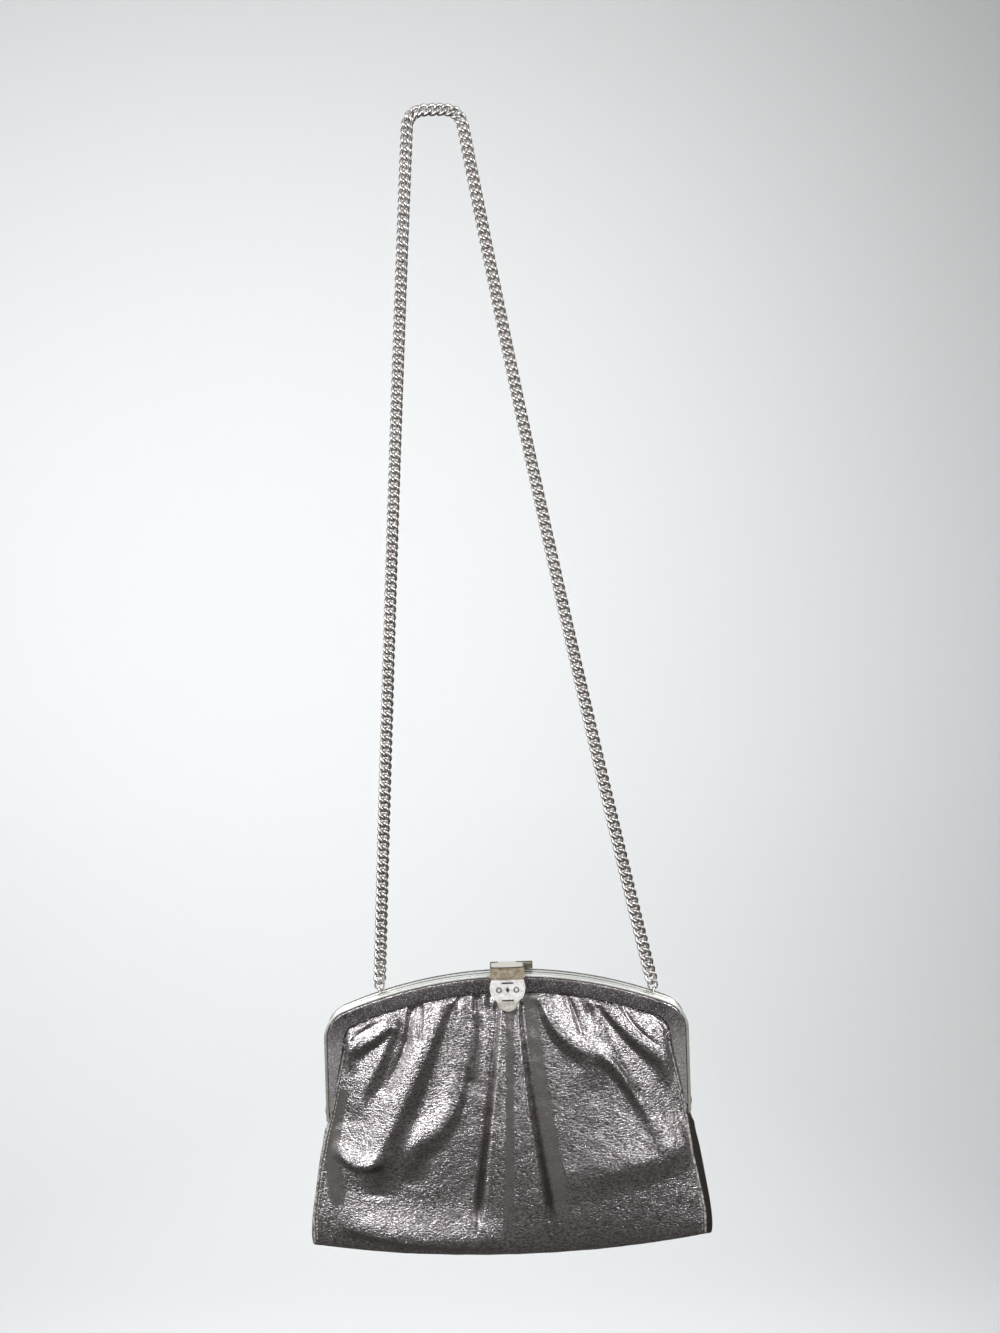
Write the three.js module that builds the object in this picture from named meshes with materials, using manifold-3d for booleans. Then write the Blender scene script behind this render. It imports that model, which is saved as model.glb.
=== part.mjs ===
// Evening clutch of gathered metallic leather on an arched metal frame, hanging by its chain.
// Millimetres, +Z up, the front faces -Y. The origin is the point where the chain hangs.

import * as THREE from "three";
import { mergeVertices } from "three/addons/utils/BufferGeometryUtils.js";
import Module from "manifold-3d";

const wasm = await Module();
wasm.setup();

// Driving dimensions: the gap between pieces, and the bag's place under the hanging point
const GAP = 0.3;
const BAG_RIGHT = 24.1;
const BAG_DROP = 452;

// Frame: two arched halves that close on the plane y = 0 of the bag
const FRAME_HALF_WIDTH = 95;
const ARCH_RADIUS = 231;
const CORNER_RADIUS = 16;
const HINGE_DROP = 74;
const RAIL_DEPTH = 7;
const RAIL_THICKNESS = 1.4;
const RAIL_ROUNDING = 0.4;

// Leather-covered face of each frame half
const COVER_WIDTH = 7.5;
const COVER_THICKNESS = 1.7;
const COVER_ROUNDING = 0.5;
const COVER_FRONT = RAIL_DEPTH - 0.25;
const COVER_DROP = 70;
const COVER_END_WIDTH = 1;
const COVER_CORNER_X = 86;
const COVER_CORNER_DROP = 38;
const COVER_ARCH_X = 78.5;

// Leather panels and gussets
const LEATHER = 1.2;
const PANEL_TUCK = 4;
const PANEL_TOP_HALF_WIDTH = 88.5;
const PANEL_BOTTOM_HALF_WIDTH = 103;
const SEAM_DEPTH = GAP / 2;
const BOTTOM_DROP = 146.8;
const BOTTOM_RADIUS = 780;
const FLAT_EDGE = 0.96;
const BULGE_POWER = 3;
const FOLD_STEPS = 14;
const FOLDS_BEGIN = [0.035, 0.12];
const FOLDS_END = [0.92, 0.995];
const FOLD_SIDE_FADE = 0.08;
const GUSSET_SETBACK = 0.2;
const GUSSET_WALL = 1.5;
const GUSSET_ROWS = 14;
const GUSSET_START = 0.06;
const GUSSET_END = 0.86;
const GUSSET_TOP_FOLD = 7;
const GUSSET_BOTTOM_FOLD = 11;

// Clasp: a flap hinged on the back rail, closing over the front one, a little right of the middle
const CLASP_RIGHT = 1.3;
const CLASP_HALF_WIDTH = 9;
const HINGE_Y = 5.2;
const HINGE_Z = 2.6;
const BARREL_RADIUS = 1.4;
const PIN_RADIUS = 0.7;
const KNUCKLE_HALF = 4.2;
const BASE_END = 13.5;
const BASE_DEPTH = 3;
const FLAP_THICKNESS = 1.2;
const FLAP_TOP = 4;
const FLAP_BEND = 6.7;
const FLAP_FRONT = 10.5;
const FLAP_NECK_DROP = 2;
const SHIELD_DROP = 12.8;
const TONGUE_DROP = 18.5;
const TONGUE_HALF_WIDTH = 6.1;
const ORNAMENT_DROP = 7.2;
const MARK_STAND = 0.32;
const MARK_RING_X = 4.5;
const MARK_RING_RADIUS = 1.2;
const MARK_BAR_HALF = 3;
const MARK_BAR_DROPS = [3.6, 12.6];
const LOZENGE_HALF_WIDTH = 1.3;
const LOZENGE_HALF_HEIGHT = 1.8;
const LOZENGE_TIP = 0.7;
const STUD_RADIUS = 2.6;
const STUD_DROP = 6.6;

// Chain, its end rings and the eyes that they hang in
const CHAIN_WIDTH = 6.6;
const CHAIN_THICKNESS = 3.4;
const CHAIN_SIDES = 10;
const CHAIN_STEP = 12;
const HANG_HALF_WIDTH = 13.7;
const HANG_BEND = 9;
const SAG_LEFT = 0.8;
const SAG_RIGHT = 3.2;
const EYE_LEFT = 66;
const EYE_RIGHT = 78;
const EYE_Y = RAIL_DEPTH / 2 + GAP / 2;
const EYE_RADIUS = 1.6;
const EYE_WIRE = 0.5;
const EYE_RISE = 0.9;
const RING_RADIUS = 2.4;
const RING_WIRE = 0.5;

// Hinge rivets at the lower ends of the frame
const RIVET_RADIUS = 2.6;
const RIVET_HEIGHT = 0.9;
const RIVET_ABOVE_END = 4;

// Sections of a panel, from its top edge to the bottom seam:
// share of the way down, depth at the middle and at the side edge, half of the width
const SECTIONS = table(["down", "depth", "edgeDepth", "halfWidth"], [
  [0, 4.7, 4.7, PANEL_TOP_HALF_WIDTH],
  [0.035, 5, 4.7, 88.5],
  [0.075, 6.3, 4.7, 88.6],
  [0.14, 8.2, 4.7, 89.2],
  [0.27, 11.4, 4.7, 90.8],
  [0.43, 14.3, 4.8, 92.5],
  [0.49, 15.3, 5.1, 95.9],
  [0.58, 16.5, 5.6, 98.6],
  [0.72, 17, 6.4, 101.3],
  [0.84, 16.2, 7, 103.4],
  [0.92, 14.4, 6.8, 104.2],
  [0.97, 11.4, 5.6, 104.1],
  [0.993, 6.2, 3.2, 103.5],
  [1, SEAM_DEPTH, SEAM_DEPTH, PANEL_BOTTOM_HALF_WIDTH],
]);

// Folds of a panel: start, middle and end of each crease or ridge, as right and drop,
// then its half width and its height at the start and at the end (below zero for a valley)
const FOLD_COLUMNS = [
  "fromX", "fromDrop", "viaX", "viaDrop", "toX", "toDrop", "width", "endWidth", "height", "endHeight",
];
const FRONT_FOLDS = table(FOLD_COLUMNS, [
  // centre pleat: left crease, right crease and the roll beside it
  [-2, 15, -7.5, 68, -16.5, 125, 2.5, 4, -1.8, -2.5],
  [8, 15, 12, 70, 21.5, 128, 2.5, 5, -2, -4],
  [12, 18, 17, 66, 28, 112, 4, 6, 1.5, 1.5],
  // left side: the long valley and ridge, then the shorter pair inside them
  [-28, 12, -50, 57, -71, 114, 4, 8, -2.5, -4],
  [-33, 13, -57, 62, -80, 89, 5, 7, 2, 3],
  [-16.5, 44, -29, 73, -51, 105, 4, 7, -1.5, -3],
  [-24, 35, -32, 63, -54, 85, 5, 7, 1, 2.5],
  // gathers under the left half of the frame
  [-55, 19, -77, 38, -87, 65, 4, 5, -2, -2],
  [-49, 17, -65, 44, -80, 69, 5, 6, 1.5, 1],
  [-55, 17, -69, 25, -81, 34, 3, 4, 1.5, 1.5],
  [-43.5, 12, -44, 22, -44.5, 33, 2, 2.5, -1.5, -1],
  [-21, 10, -23, 17, -22.5, 28, 2.5, 3, -1.5, -0.5],
  [-11, 9, -12, 17, -13.5, 26, 2.5, 3, -1.5, -0.5],
  // right side: the bulge under the frame and the valley that runs below it
  [23, 12, 30, 24, 38, 37, 7, 8, 2, 2.5],
  [18, 17, 23, 37, 50, 46, 4, 6, -2.5, -4],
  [49, 45, 60, 58, 71, 77, 5, 4, -3, -1.5],
  [44, 14, 53, 46, 84, 88, 4, 6, 1.5, 1.5],
  [49, 17, 69, 41, 88, 71, 3, 5, -2, -2],
  [64, 19, 74, 29, 85, 41, 4, 4, 1.5, 1.5],
  [33, 20, 35, 25, 40, 31, 2, 2, -1.5, -1],
  // broad rolls near the bottom
  [-73, 122, -48, 124, -22, 127, 9, 9, 2, 2],
  [30, 99, 58, 100, 90, 98, 14, 12, 1.5, 1],
]);
const BACK_FOLDS = table(FOLD_COLUMNS, [
  [-6, 14, -10, 60, -18, 112, 5, 8, -2, -1.5],
  [7, 14, 12, 60, 20, 112, 5, 8, -2, -1.5],
  [-34, 14, -50, 55, -66, 96, 5, 8, -2, -2],
  [34, 14, 50, 55, 66, 96, 5, 8, -2, -2],
  [-58, 19, -74, 40, -84, 66, 5, 6, -1.5, -1],
  [58, 19, 74, 40, 84, 66, 5, 6, -1.5, -1],
]);
const FRONT_GRID = { columns: 42, rows: 22, folds: FRONT_FOLDS };
const BACK_GRID = { columns: 28, rows: 14, folds: BACK_FOLDS };

// Turns a table of bare rows into rows with named columns
function table(columns, rows) {
  return rows.map((row) => Object.fromEntries(columns.map((name, i) => [name, row[i]])));
}

// Reads a table smoothly, from its first row at 0 to its last row at 1
function readTable(rows, at) {
  const last = rows.length - 1;
  const index = Math.min(Math.floor(at * last), last - 1);
  const t = at * last - index;
  const near = [-1, 0, 1, 2].map((step) => rows[THREE.MathUtils.clamp(index + step, 0, last)]);
  const value = (key) => {
    const [a, b, c, d] = near.map((row) => row[key]);
    const slopeIn = (c - a) / 2;
    const slopeOut = (d - b) / 2;
    const bend = 3 * (c - b) - 2 * slopeIn - slopeOut;
    const twist = slopeIn + slopeOut - 2 * (c - b);
    return b + t * (slopeIn + t * (bend + t * twist));
  };
  return Object.fromEntries(Object.keys(rows[0]).map((key) => [key, value(key)]));
}

// Solids for joining and cutting

function toSolid(geometry) {
  const bare = geometry.index ? geometry.toNonIndexed() : geometry.clone();
  bare.deleteAttribute("normal");
  bare.deleteAttribute("uv");
  const merged = mergeVertices(bare, 1e-4);
  const vertProperties = new Float32Array(merged.attributes.position.array);
  const triVerts = new Uint32Array(merged.index.array);
  return new wasm.Manifold(new wasm.Mesh({ numProp: 3, vertProperties, triVerts }));
}

function toGeometry(solid) {
  const mesh = solid.getMesh();
  const geometry = new THREE.BufferGeometry();
  geometry.setAttribute("position", new THREE.BufferAttribute(new Float32Array(mesh.vertProperties), 3));
  geometry.setIndex(new THREE.BufferAttribute(new Uint32Array(mesh.triVerts), 1));
  return geometry;
}

function box(left, right, front, back, bottom, top) {
  const geometry = new THREE.BoxGeometry(right - left, back - front, top - bottom);
  return geometry.translate((left + right) / 2, (front + back) / 2, (bottom + top) / 2);
}

// A round bar along X
function bar(radius, left, right, y, z) {
  const geometry = new THREE.CylinderGeometry(radius, radius, right - left, 14);
  return geometry.rotateZ(Math.PI / 2).translate((left + right) / 2, y, z);
}

// An upright plate of a front-view outline, from y = front to y = back, with rounded edges
function uprightPlate(outline, front, back, rounding) {
  const geometry = new THREE.ExtrudeGeometry(outline, {
    depth: back - front - 2 * rounding,
    bevelEnabled: true,
    bevelSize: rounding,
    bevelThickness: rounding,
    bevelOffset: -rounding,
    bevelSegments: 1,
    curveSegments: 6,
  });
  return geometry.rotateX(Math.PI / 2).translate(0, back - rounding, 0);
}

// Frame outlines

const cornerX = FRAME_HALF_WIDTH - CORNER_RADIUS;
const cornerLean = Math.asin(cornerX / (ARCH_RADIUS - CORNER_RADIUS));
const cornerZ = -ARCH_RADIUS + (ARCH_RADIUS - CORNER_RADIUS) * Math.cos(cornerLean);

function archZ(x, radius = ARCH_RADIUS) {
  return -ARCH_RADIUS + Math.sqrt(radius * radius - x * x);
}

// Outer line of the frame, moved inwards, from its lower left end over the arch to the right end
function frameLine(path, inset, drop) {
  const upright = Math.PI / 2;
  path.moveTo(-FRAME_HALF_WIDTH + inset, -drop);
  path.lineTo(-FRAME_HALF_WIDTH + inset, cornerZ);
  path.absarc(-cornerX, cornerZ, CORNER_RADIUS - inset, Math.PI, upright + cornerLean, true);
  path.absarc(0, -ARCH_RADIUS, ARCH_RADIUS - inset, upright + cornerLean, upright - cornerLean, true);
  path.absarc(cornerX, cornerZ, CORNER_RADIUS - inset, upright - cornerLean, 0, true);
  path.lineTo(FRAME_HALF_WIDTH - inset, -drop);
}

function railOutline() {
  const inset = RAIL_THICKNESS;
  const upright = Math.PI / 2;
  const outline = new THREE.Shape();
  frameLine(outline, 0, HINGE_DROP);
  outline.lineTo(FRAME_HALF_WIDTH - inset, -HINGE_DROP);
  outline.lineTo(FRAME_HALF_WIDTH - inset, cornerZ);
  outline.absarc(cornerX, cornerZ, CORNER_RADIUS - inset, 0, upright - cornerLean, false);
  outline.absarc(0, -ARCH_RADIUS, ARCH_RADIUS - inset, upright - cornerLean, upright + cornerLean, false);
  outline.absarc(-cornerX, cornerZ, CORNER_RADIUS - inset, upright + cornerLean, Math.PI, false);
  outline.lineTo(-FRAME_HALF_WIDTH + inset, -HINGE_DROP);
  outline.closePath();
  return outline;
}

function coverOutline() {
  const inset = RAIL_THICKNESS + GAP;
  const innerRadius = ARCH_RADIUS - inset - COVER_WIDTH;
  const lean = Math.asin(COVER_ARCH_X / innerRadius);
  const archEnd = archZ(COVER_ARCH_X, innerRadius);
  const cornerTop = archEnd - (COVER_CORNER_X - COVER_ARCH_X) * Math.tan(lean);
  const endX = FRAME_HALF_WIDTH - inset - COVER_END_WIDTH;
  const outline = new THREE.Shape();
  frameLine(outline, inset, COVER_DROP);
  outline.lineTo(endX, -COVER_DROP);
  outline.lineTo(COVER_CORNER_X, -COVER_CORNER_DROP);
  outline.quadraticCurveTo(COVER_CORNER_X, cornerTop, COVER_ARCH_X, archEnd);
  outline.absarc(0, -ARCH_RADIUS, innerRadius, Math.PI / 2 - lean, Math.PI / 2 + lean, false);
  outline.quadraticCurveTo(-COVER_CORNER_X, cornerTop, -COVER_CORNER_X, -COVER_CORNER_DROP);
  outline.lineTo(-endX, -COVER_DROP);
  outline.closePath();
  return outline;
}

// A piece of the frame for one half: the front at side -1, the back at side 1
function frameHalf(outline, near, far, side, rounding) {
  return side < 0
    ? uprightPlate(outline, -far, -near, rounding)
    : uprightPlate(outline, near, far, rounding);
}

function railGeometry(side) {
  return frameHalf(railOutline(), GAP / 2, GAP / 2 + RAIL_DEPTH, side, RAIL_ROUNDING);
}

function coverGeometry(side) {
  return frameHalf(coverOutline(), COVER_FRONT - COVER_THICKNESS, COVER_FRONT, side, COVER_ROUNDING);
}

// Eyes of the chain: wire loops soldered on top of the back rail

function eyeLean(hand) {
  return Math.asin((hand < 0 ? -EYE_LEFT : EYE_RIGHT) / ARCH_RADIUS);
}

function eyePoint(hand, rise) {
  const lean = eyeLean(hand);
  const radius = ARCH_RADIUS + rise;
  return new THREE.Vector3(radius * Math.sin(lean), EYE_Y, -ARCH_RADIUS + radius * Math.cos(lean));
}

function eyeGeometry(hand) {
  const centre = eyePoint(hand, EYE_RISE);
  const loop = new THREE.TorusGeometry(EYE_RADIUS, EYE_WIRE, 6, 14);
  return loop.rotateY(Math.PI / 2 + eyeLean(hand)).translate(centre.x, centre.y, centre.z);
}

function backRailGeometry() {
  const rail = toSolid(railGeometry(1));
  return toGeometry(rail.add(toSolid(eyeGeometry(-1))).add(toSolid(eyeGeometry(1))));
}

function rivetGeometry(hand) {
  const profile = [
    new THREE.Vector2(0, 0),
    new THREE.Vector2(RIVET_RADIUS, 0),
    new THREE.Vector2(RIVET_RADIUS, RIVET_HEIGHT / 3),
    new THREE.Vector2(RIVET_RADIUS / 2, RIVET_HEIGHT),
    new THREE.Vector2(0, RIVET_HEIGHT),
  ];
  const rivet = new THREE.LatheGeometry(profile, 14);
  return rivet.rotateZ(-hand * Math.PI / 2).translate(
    hand * (FRAME_HALF_WIDTH + GAP), 0, -HINGE_DROP + RIVET_ABOVE_END,
  );
}

// Leather panels

function foldWithCurve(row) {
  const from = new THREE.Vector2(row.fromX, row.fromDrop);
  const via = new THREE.Vector2(row.viaX, row.viaDrop);
  const to = new THREE.Vector2(row.toX, row.toDrop);
  const control = via.multiplyScalar(2).addScaledVector(from, -0.5).addScaledVector(to, -0.5);
  return { ...row, points: new THREE.QuadraticBezierCurve(from, control, to).getPoints(FOLD_STEPS) };
}

// Height of one fold at a place of the panel, from the nearest point of its line
function foldHeight(fold, place) {
  let nearest = Infinity;
  let along = 0;
  for (let i = 0; i < FOLD_STEPS; i += 1) {
    const start = fold.points[i];
    const run = fold.points[i + 1].clone().sub(start);
    const share = THREE.MathUtils.clamp(place.clone().sub(start).dot(run) / run.lengthSq(), 0, 1);
    const distance = place.distanceTo(start.clone().addScaledVector(run, share));
    if (distance < nearest) {
      nearest = distance;
      along = (i + share) / FOLD_STEPS;
    }
  }
  const width = THREE.MathUtils.lerp(fold.width, fold.endWidth, along);
  return THREE.MathUtils.lerp(fold.height, fold.endHeight, along) * Math.exp(-((nearest / width) ** 2));
}

// Outer face of a panel: across from -1 to 1, down from 0 at its top edge to 1 at the bottom seam
function panelPoint(side, folds, across, downRow) {
  const section = readTable(SECTIONS, downRow);
  const topRadius = ARCH_RADIUS - RAIL_THICKNESS - GAP - COVER_WIDTH + PANEL_TUCK;
  const top = archZ(across * PANEL_TOP_HALF_WIDTH, topRadius);
  const bottomX = across * PANEL_BOTTOM_HALF_WIDTH;
  const bottom = -BOTTOM_DROP + BOTTOM_RADIUS - Math.sqrt(BOTTOM_RADIUS ** 2 - bottomX ** 2);
  const x = across * section.halfWidth;
  const z = THREE.MathUtils.lerp(top, bottom, section.down);
  const inFrom = Math.min(Math.abs(across) / FLAT_EDGE, 1);
  const bulge = 1 - inFrom ** BULGE_POWER;
  const upperFade = THREE.MathUtils.smoothstep(section.down, ...FOLDS_BEGIN);
  const lowerFade = 1 - THREE.MathUtils.smoothstep(section.down, ...FOLDS_END);
  const sideFade = THREE.MathUtils.smoothstep(FLAT_EDGE - Math.abs(across), 0, FOLD_SIDE_FADE);
  const place = new THREE.Vector2(x, -z);
  const height = folds.reduce((sum, fold) => sum + foldHeight(fold, place), 0);
  const depth = THREE.MathUtils.lerp(section.edgeDepth, section.depth, bulge);
  return new THREE.Vector3(x, side * (depth + height * upperFade * lowerFade * sideFade), z);
}

// Point of the inner face, one leather thickness in from the outer one
function panelInnerPoint(side, folds, across, downRow) {
  const step = 0.004;
  const at = (u, v) => panelPoint(side, folds, THREE.MathUtils.clamp(u, -1, 1), THREE.MathUtils.clamp(v, 0, 1));
  const right = at(across + step, downRow).sub(at(across - step, downRow));
  const down = at(across, downRow + step).sub(at(across, downRow - step));
  const inwards = right.cross(down).normalize().multiplyScalar(-side);
  const point = panelPoint(side, folds, across, downRow).addScaledVector(inwards, LEATHER);
  return point.setY(side * Math.max(side * point.y, SEAM_DEPTH));
}

// A closed wall between an outer and an inner grid of points that match row by row
function wallGeometry(outer, inner, flip) {
  const rows = outer.length;
  const columns = outer[0].length;
  const positions = [...outer.flat(), ...inner.flat()].flatMap((point) => point.toArray());
  const outerAt = (row, column) => row * columns + column;
  const innerAt = (row, column) => rows * columns + row * columns + column;
  const faces = [];
  const quad = (a, b, c, d) => {
    faces.push(...(flip ? [a, c, b, a, d, c] : [a, b, c, a, c, d]));
  };
  for (let row = 0; row + 1 < rows; row += 1) {
    for (let column = 0; column + 1 < columns; column += 1) {
      const [next, below] = [column + 1, row + 1];
      quad(outerAt(row, column), outerAt(below, column), outerAt(below, next), outerAt(row, next));
      quad(innerAt(row, column), innerAt(row, next), innerAt(below, next), innerAt(below, column));
    }
    quad(outerAt(row, 0), innerAt(row, 0), innerAt(row + 1, 0), outerAt(row + 1, 0));
    const end = columns - 1;
    quad(outerAt(row, end), outerAt(row + 1, end), innerAt(row + 1, end), innerAt(row, end));
  }
  for (let column = 0; column + 1 < columns; column += 1) {
    const end = rows - 1;
    quad(outerAt(0, column), outerAt(0, column + 1), innerAt(0, column + 1), innerAt(0, column));
    quad(outerAt(end, column), innerAt(end, column), innerAt(end, column + 1), outerAt(end, column + 1));
  }
  const geometry = new THREE.BufferGeometry();
  geometry.setAttribute("position", new THREE.Float32BufferAttribute(positions, 3));
  geometry.setIndex(faces);
  return geometry;
}

function panelGeometry(side, grid) {
  const folds = grid.folds.map(foldWithCurve);
  const pointGrid = (pointAt) => Array.from({ length: grid.rows + 1 }, (_, row) => (
    Array.from({ length: grid.columns + 1 }, (__, column) => (
      pointAt(side, folds, (2 * column) / grid.columns - 1, row / grid.rows)
    ))
  ));
  return wallGeometry(pointGrid(panelPoint), pointGrid(panelInnerPoint), side > 0);
}

// A gusset: a strip folded inwards along its middle, between the side edges of the two panels
const GUSSET_FOLD = table(["across", "inwards"], [
  [-1, 0],
  [-0.5, 0.45],
  [0, 1],
  [0.5, 0.45],
  [1, 0],
]);

function gussetGeometry(hand) {
  const strip = (setback) => Array.from({ length: GUSSET_ROWS + 1 }, (_, row) => {
    const share = row / GUSSET_ROWS;
    const downRow = THREE.MathUtils.lerp(GUSSET_START, GUSSET_END, share);
    const edge = panelInnerPoint(1, [], hand, downRow);
    const half = edge.y - GAP;
    const foldDepth = THREE.MathUtils.lerp(GUSSET_TOP_FOLD, GUSSET_BOTTOM_FOLD, share);
    return GUSSET_FOLD.map(({ across, inwards }) => new THREE.Vector3(
      edge.x - hand * (GUSSET_SETBACK + setback + inwards * foldDepth), across * half, edge.z,
    ));
  });
  return wallGeometry(strip(0), strip(GUSSET_WALL), hand < 0);
}

// Clasp

function claspBaseGeometry() {
  const half = BASE_DEPTH / 2;
  const inner = KNUCKLE_HALF + GAP;
  const blocks = [[-CLASP_HALF_WIDTH, -inner], [inner, BASE_END]];
  let base = toSolid(bar(PIN_RADIUS, -inner - 1, inner + 1, HINGE_Y, HINGE_Z));
  for (const [left, right] of blocks) {
    base = base.add(toSolid(bar(BARREL_RADIUS, left, right, HINGE_Y, HINGE_Z)));
    base = base.add(toSolid(box(left, right, HINGE_Y - half, HINGE_Y + half, GAP, HINGE_Z - BARREL_RADIUS / 2)));
  }
  return toGeometry(base);
}

// Bent strip of the flap, seen from the side, as wide as the clasp
function flapStrip() {
  const inside = FLAP_BEND - FLAP_THICKNESS;
  const bendY = -FLAP_FRONT + FLAP_BEND;
  const bendZ = FLAP_TOP - FLAP_BEND;
  const profile = new THREE.Shape();
  profile.moveTo(HINGE_Y, FLAP_TOP);
  profile.absarc(bendY, bendZ, FLAP_BEND, Math.PI / 2, Math.PI, false);
  profile.lineTo(-FLAP_FRONT, -TONGUE_DROP - 1);
  profile.lineTo(-FLAP_FRONT + FLAP_THICKNESS, -TONGUE_DROP - 1);
  profile.absarc(bendY, bendZ, inside, Math.PI, Math.PI / 2, true);
  profile.lineTo(HINGE_Y, FLAP_TOP - FLAP_THICKNESS);
  profile.closePath();
  const width = 2 * CLASP_HALF_WIDTH + 2;
  const strip = new THREE.ExtrudeGeometry(profile, { depth: width, bevelEnabled: false, curveSegments: 4 });
  const sideways = new THREE.Matrix4().makeBasis(
    new THREE.Vector3(0, 1, 0), new THREE.Vector3(0, 0, 1), new THREE.Vector3(1, 0, 0),
  );
  return strip.applyMatrix4(sideways).translate(-width / 2, 0, 0);
}

// Front view of the flap: a square top, a round-sided shield and a narrower tongue
function flapOutline() {
  const neck = CLASP_HALF_WIDTH - 0.7;
  const outline = new THREE.Shape();
  outline.moveTo(-CLASP_HALF_WIDTH, FLAP_TOP + 1);
  outline.lineTo(-CLASP_HALF_WIDTH, -FLAP_NECK_DROP + 1);
  outline.lineTo(-neck, -FLAP_NECK_DROP);
  outline.bezierCurveTo(
    -CLASP_HALF_WIDTH - 1.2, -FLAP_NECK_DROP - 5, -CLASP_HALF_WIDTH, -SHIELD_DROP + 2,
    -TONGUE_HALF_WIDTH, -SHIELD_DROP,
  );
  outline.quadraticCurveTo(-TONGUE_HALF_WIDTH + 0.4, -TONGUE_DROP, 0, -TONGUE_DROP);
  outline.quadraticCurveTo(TONGUE_HALF_WIDTH - 0.4, -TONGUE_DROP, TONGUE_HALF_WIDTH, -SHIELD_DROP);
  outline.bezierCurveTo(
    CLASP_HALF_WIDTH, -SHIELD_DROP + 2, CLASP_HALF_WIDTH + 1.2, -FLAP_NECK_DROP - 5,
    neck, -FLAP_NECK_DROP,
  );
  outline.lineTo(CLASP_HALF_WIDTH, -FLAP_NECK_DROP + 1);
  outline.lineTo(CLASP_HALF_WIDTH, FLAP_TOP + 1);
  outline.closePath();
  const options = { depth: FLAP_FRONT + HINGE_Y + 4, bevelEnabled: false, curveSegments: 7 };
  return new THREE.ExtrudeGeometry(outline, options).rotateX(Math.PI / 2).translate(0, HINGE_Y + 2, 0);
}

// Raised ornament on the shield: a ring on each side of a lozenge, between two thin bars
function flapOrnament() {
  const front = -FLAP_FRONT;
  const rings = [-MARK_RING_X, MARK_RING_X].map((x) => (
    new THREE.TorusGeometry(MARK_RING_RADIUS, MARK_STAND, 4, 12)
      .rotateX(Math.PI / 2).translate(x, front, -ORNAMENT_DROP)
  ));
  const lozenge = new THREE.CylinderGeometry(LOZENGE_HALF_WIDTH, LOZENGE_TIP * LOZENGE_HALF_WIDTH, 1, 4);
  lozenge.scale(1, 1, LOZENGE_HALF_HEIGHT / LOZENGE_HALF_WIDTH);
  lozenge.translate(0, front - MARK_STAND + 0.5, -ORNAMENT_DROP);
  const bars = MARK_BAR_DROPS.map((drop) => box(
    -MARK_BAR_HALF, MARK_BAR_HALF, front - MARK_STAND, front + 0.5, -drop - MARK_STAND, -drop + MARK_STAND,
  ));
  return [...rings, lozenge, ...bars];
}

function claspFlapGeometry() {
  const reach = HINGE_Y - BARREL_RADIUS - GAP;
  const clear = KNUCKLE_HALF + 0.01;
  const wide = 2 * CLASP_HALF_WIDTH;
  let flap = toSolid(flapStrip()).intersect(toSolid(flapOutline()));
  flap = flap.subtract(toSolid(box(-wide, -clear, reach, wide, -wide, wide)));
  flap = flap.subtract(toSolid(box(clear, wide, reach, wide, -wide, wide)));
  flap = flap.add(toSolid(bar(BARREL_RADIUS, -KNUCKLE_HALF, KNUCKLE_HALF, HINGE_Y, HINGE_Z)));
  flap = flap.subtract(toSolid(bar(PIN_RADIUS + GAP, -wide, wide, HINGE_Y, HINGE_Z)));
  for (const piece of flapOrnament()) {
    flap = flap.add(toSolid(piece));
  }
  return toGeometry(flap);
}

function claspStudGeometry() {
  const back = -COVER_FRONT - GAP;
  const front = -FLAP_FRONT + FLAP_THICKNESS + GAP;
  const stud = new THREE.CylinderGeometry(STUD_RADIUS, STUD_RADIUS, back - front, 14);
  return stud.translate(0, (front + back) / 2, -STUD_DROP);
}

// Chain, in the bag's frame: two strands that meet over the hanging point

function hangCorner(hand) {
  return new THREE.Vector3(-BAG_RIGHT + hand * HANG_HALF_WIDTH, EYE_Y, BAG_DROP + CHAIN_WIDTH / 2);
}

function ringCentre(hand) {
  const seat = eyePoint(hand, EYE_RISE + EYE_RADIUS - EYE_WIRE - GAP - RING_WIRE);
  const pull = hangCorner(hand).sub(seat).normalize();
  return { centre: seat.clone().addScaledVector(pull, RING_RADIUS), pull };
}

function ringGeometry(hand) {
  const { centre } = ringCentre(hand);
  const ring = new THREE.TorusGeometry(RING_RADIUS, RING_WIRE, 6, 16);
  return ring.rotateX(Math.PI / 2).translate(centre.x, centre.y, centre.z);
}

function strandGeometry(hand) {
  const { centre, pull } = ringCentre(hand);
  const start = centre.clone().addScaledVector(pull, RING_RADIUS + RING_WIRE + GAP);
  const corner = hangCorner(hand);
  const bendStart = corner.clone().addScaledVector(pull, -HANG_BEND);
  const bendEnd = corner.clone().setX(corner.x - hand * HANG_BEND);
  const middle = corner.clone().setX(-BAG_RIGHT + hand * GAP / 2);
  const sagged = start.clone().lerp(bendStart, 0.5);
  sagged.x -= 2 * (hand < 0 ? SAG_LEFT : SAG_RIGHT);
  const route = new THREE.CurvePath();
  route.add(new THREE.QuadraticBezierCurve3(start, sagged, bendStart));
  route.add(new THREE.QuadraticBezierCurve3(bendStart, corner, bendEnd));
  route.add(new THREE.LineCurve3(bendEnd, middle));
  const section = new THREE.Shape();
  section.absellipse(0, 0, CHAIN_THICKNESS / 2, CHAIN_WIDTH / 2, 0, 2 * Math.PI, false);
  return new THREE.ExtrudeGeometry(section, {
    steps: Math.round(route.getLength() / CHAIN_STEP),
    curveSegments: CHAIN_SIDES / 2,
    extrudePath: route,
  });
}

// Assembly

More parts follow.
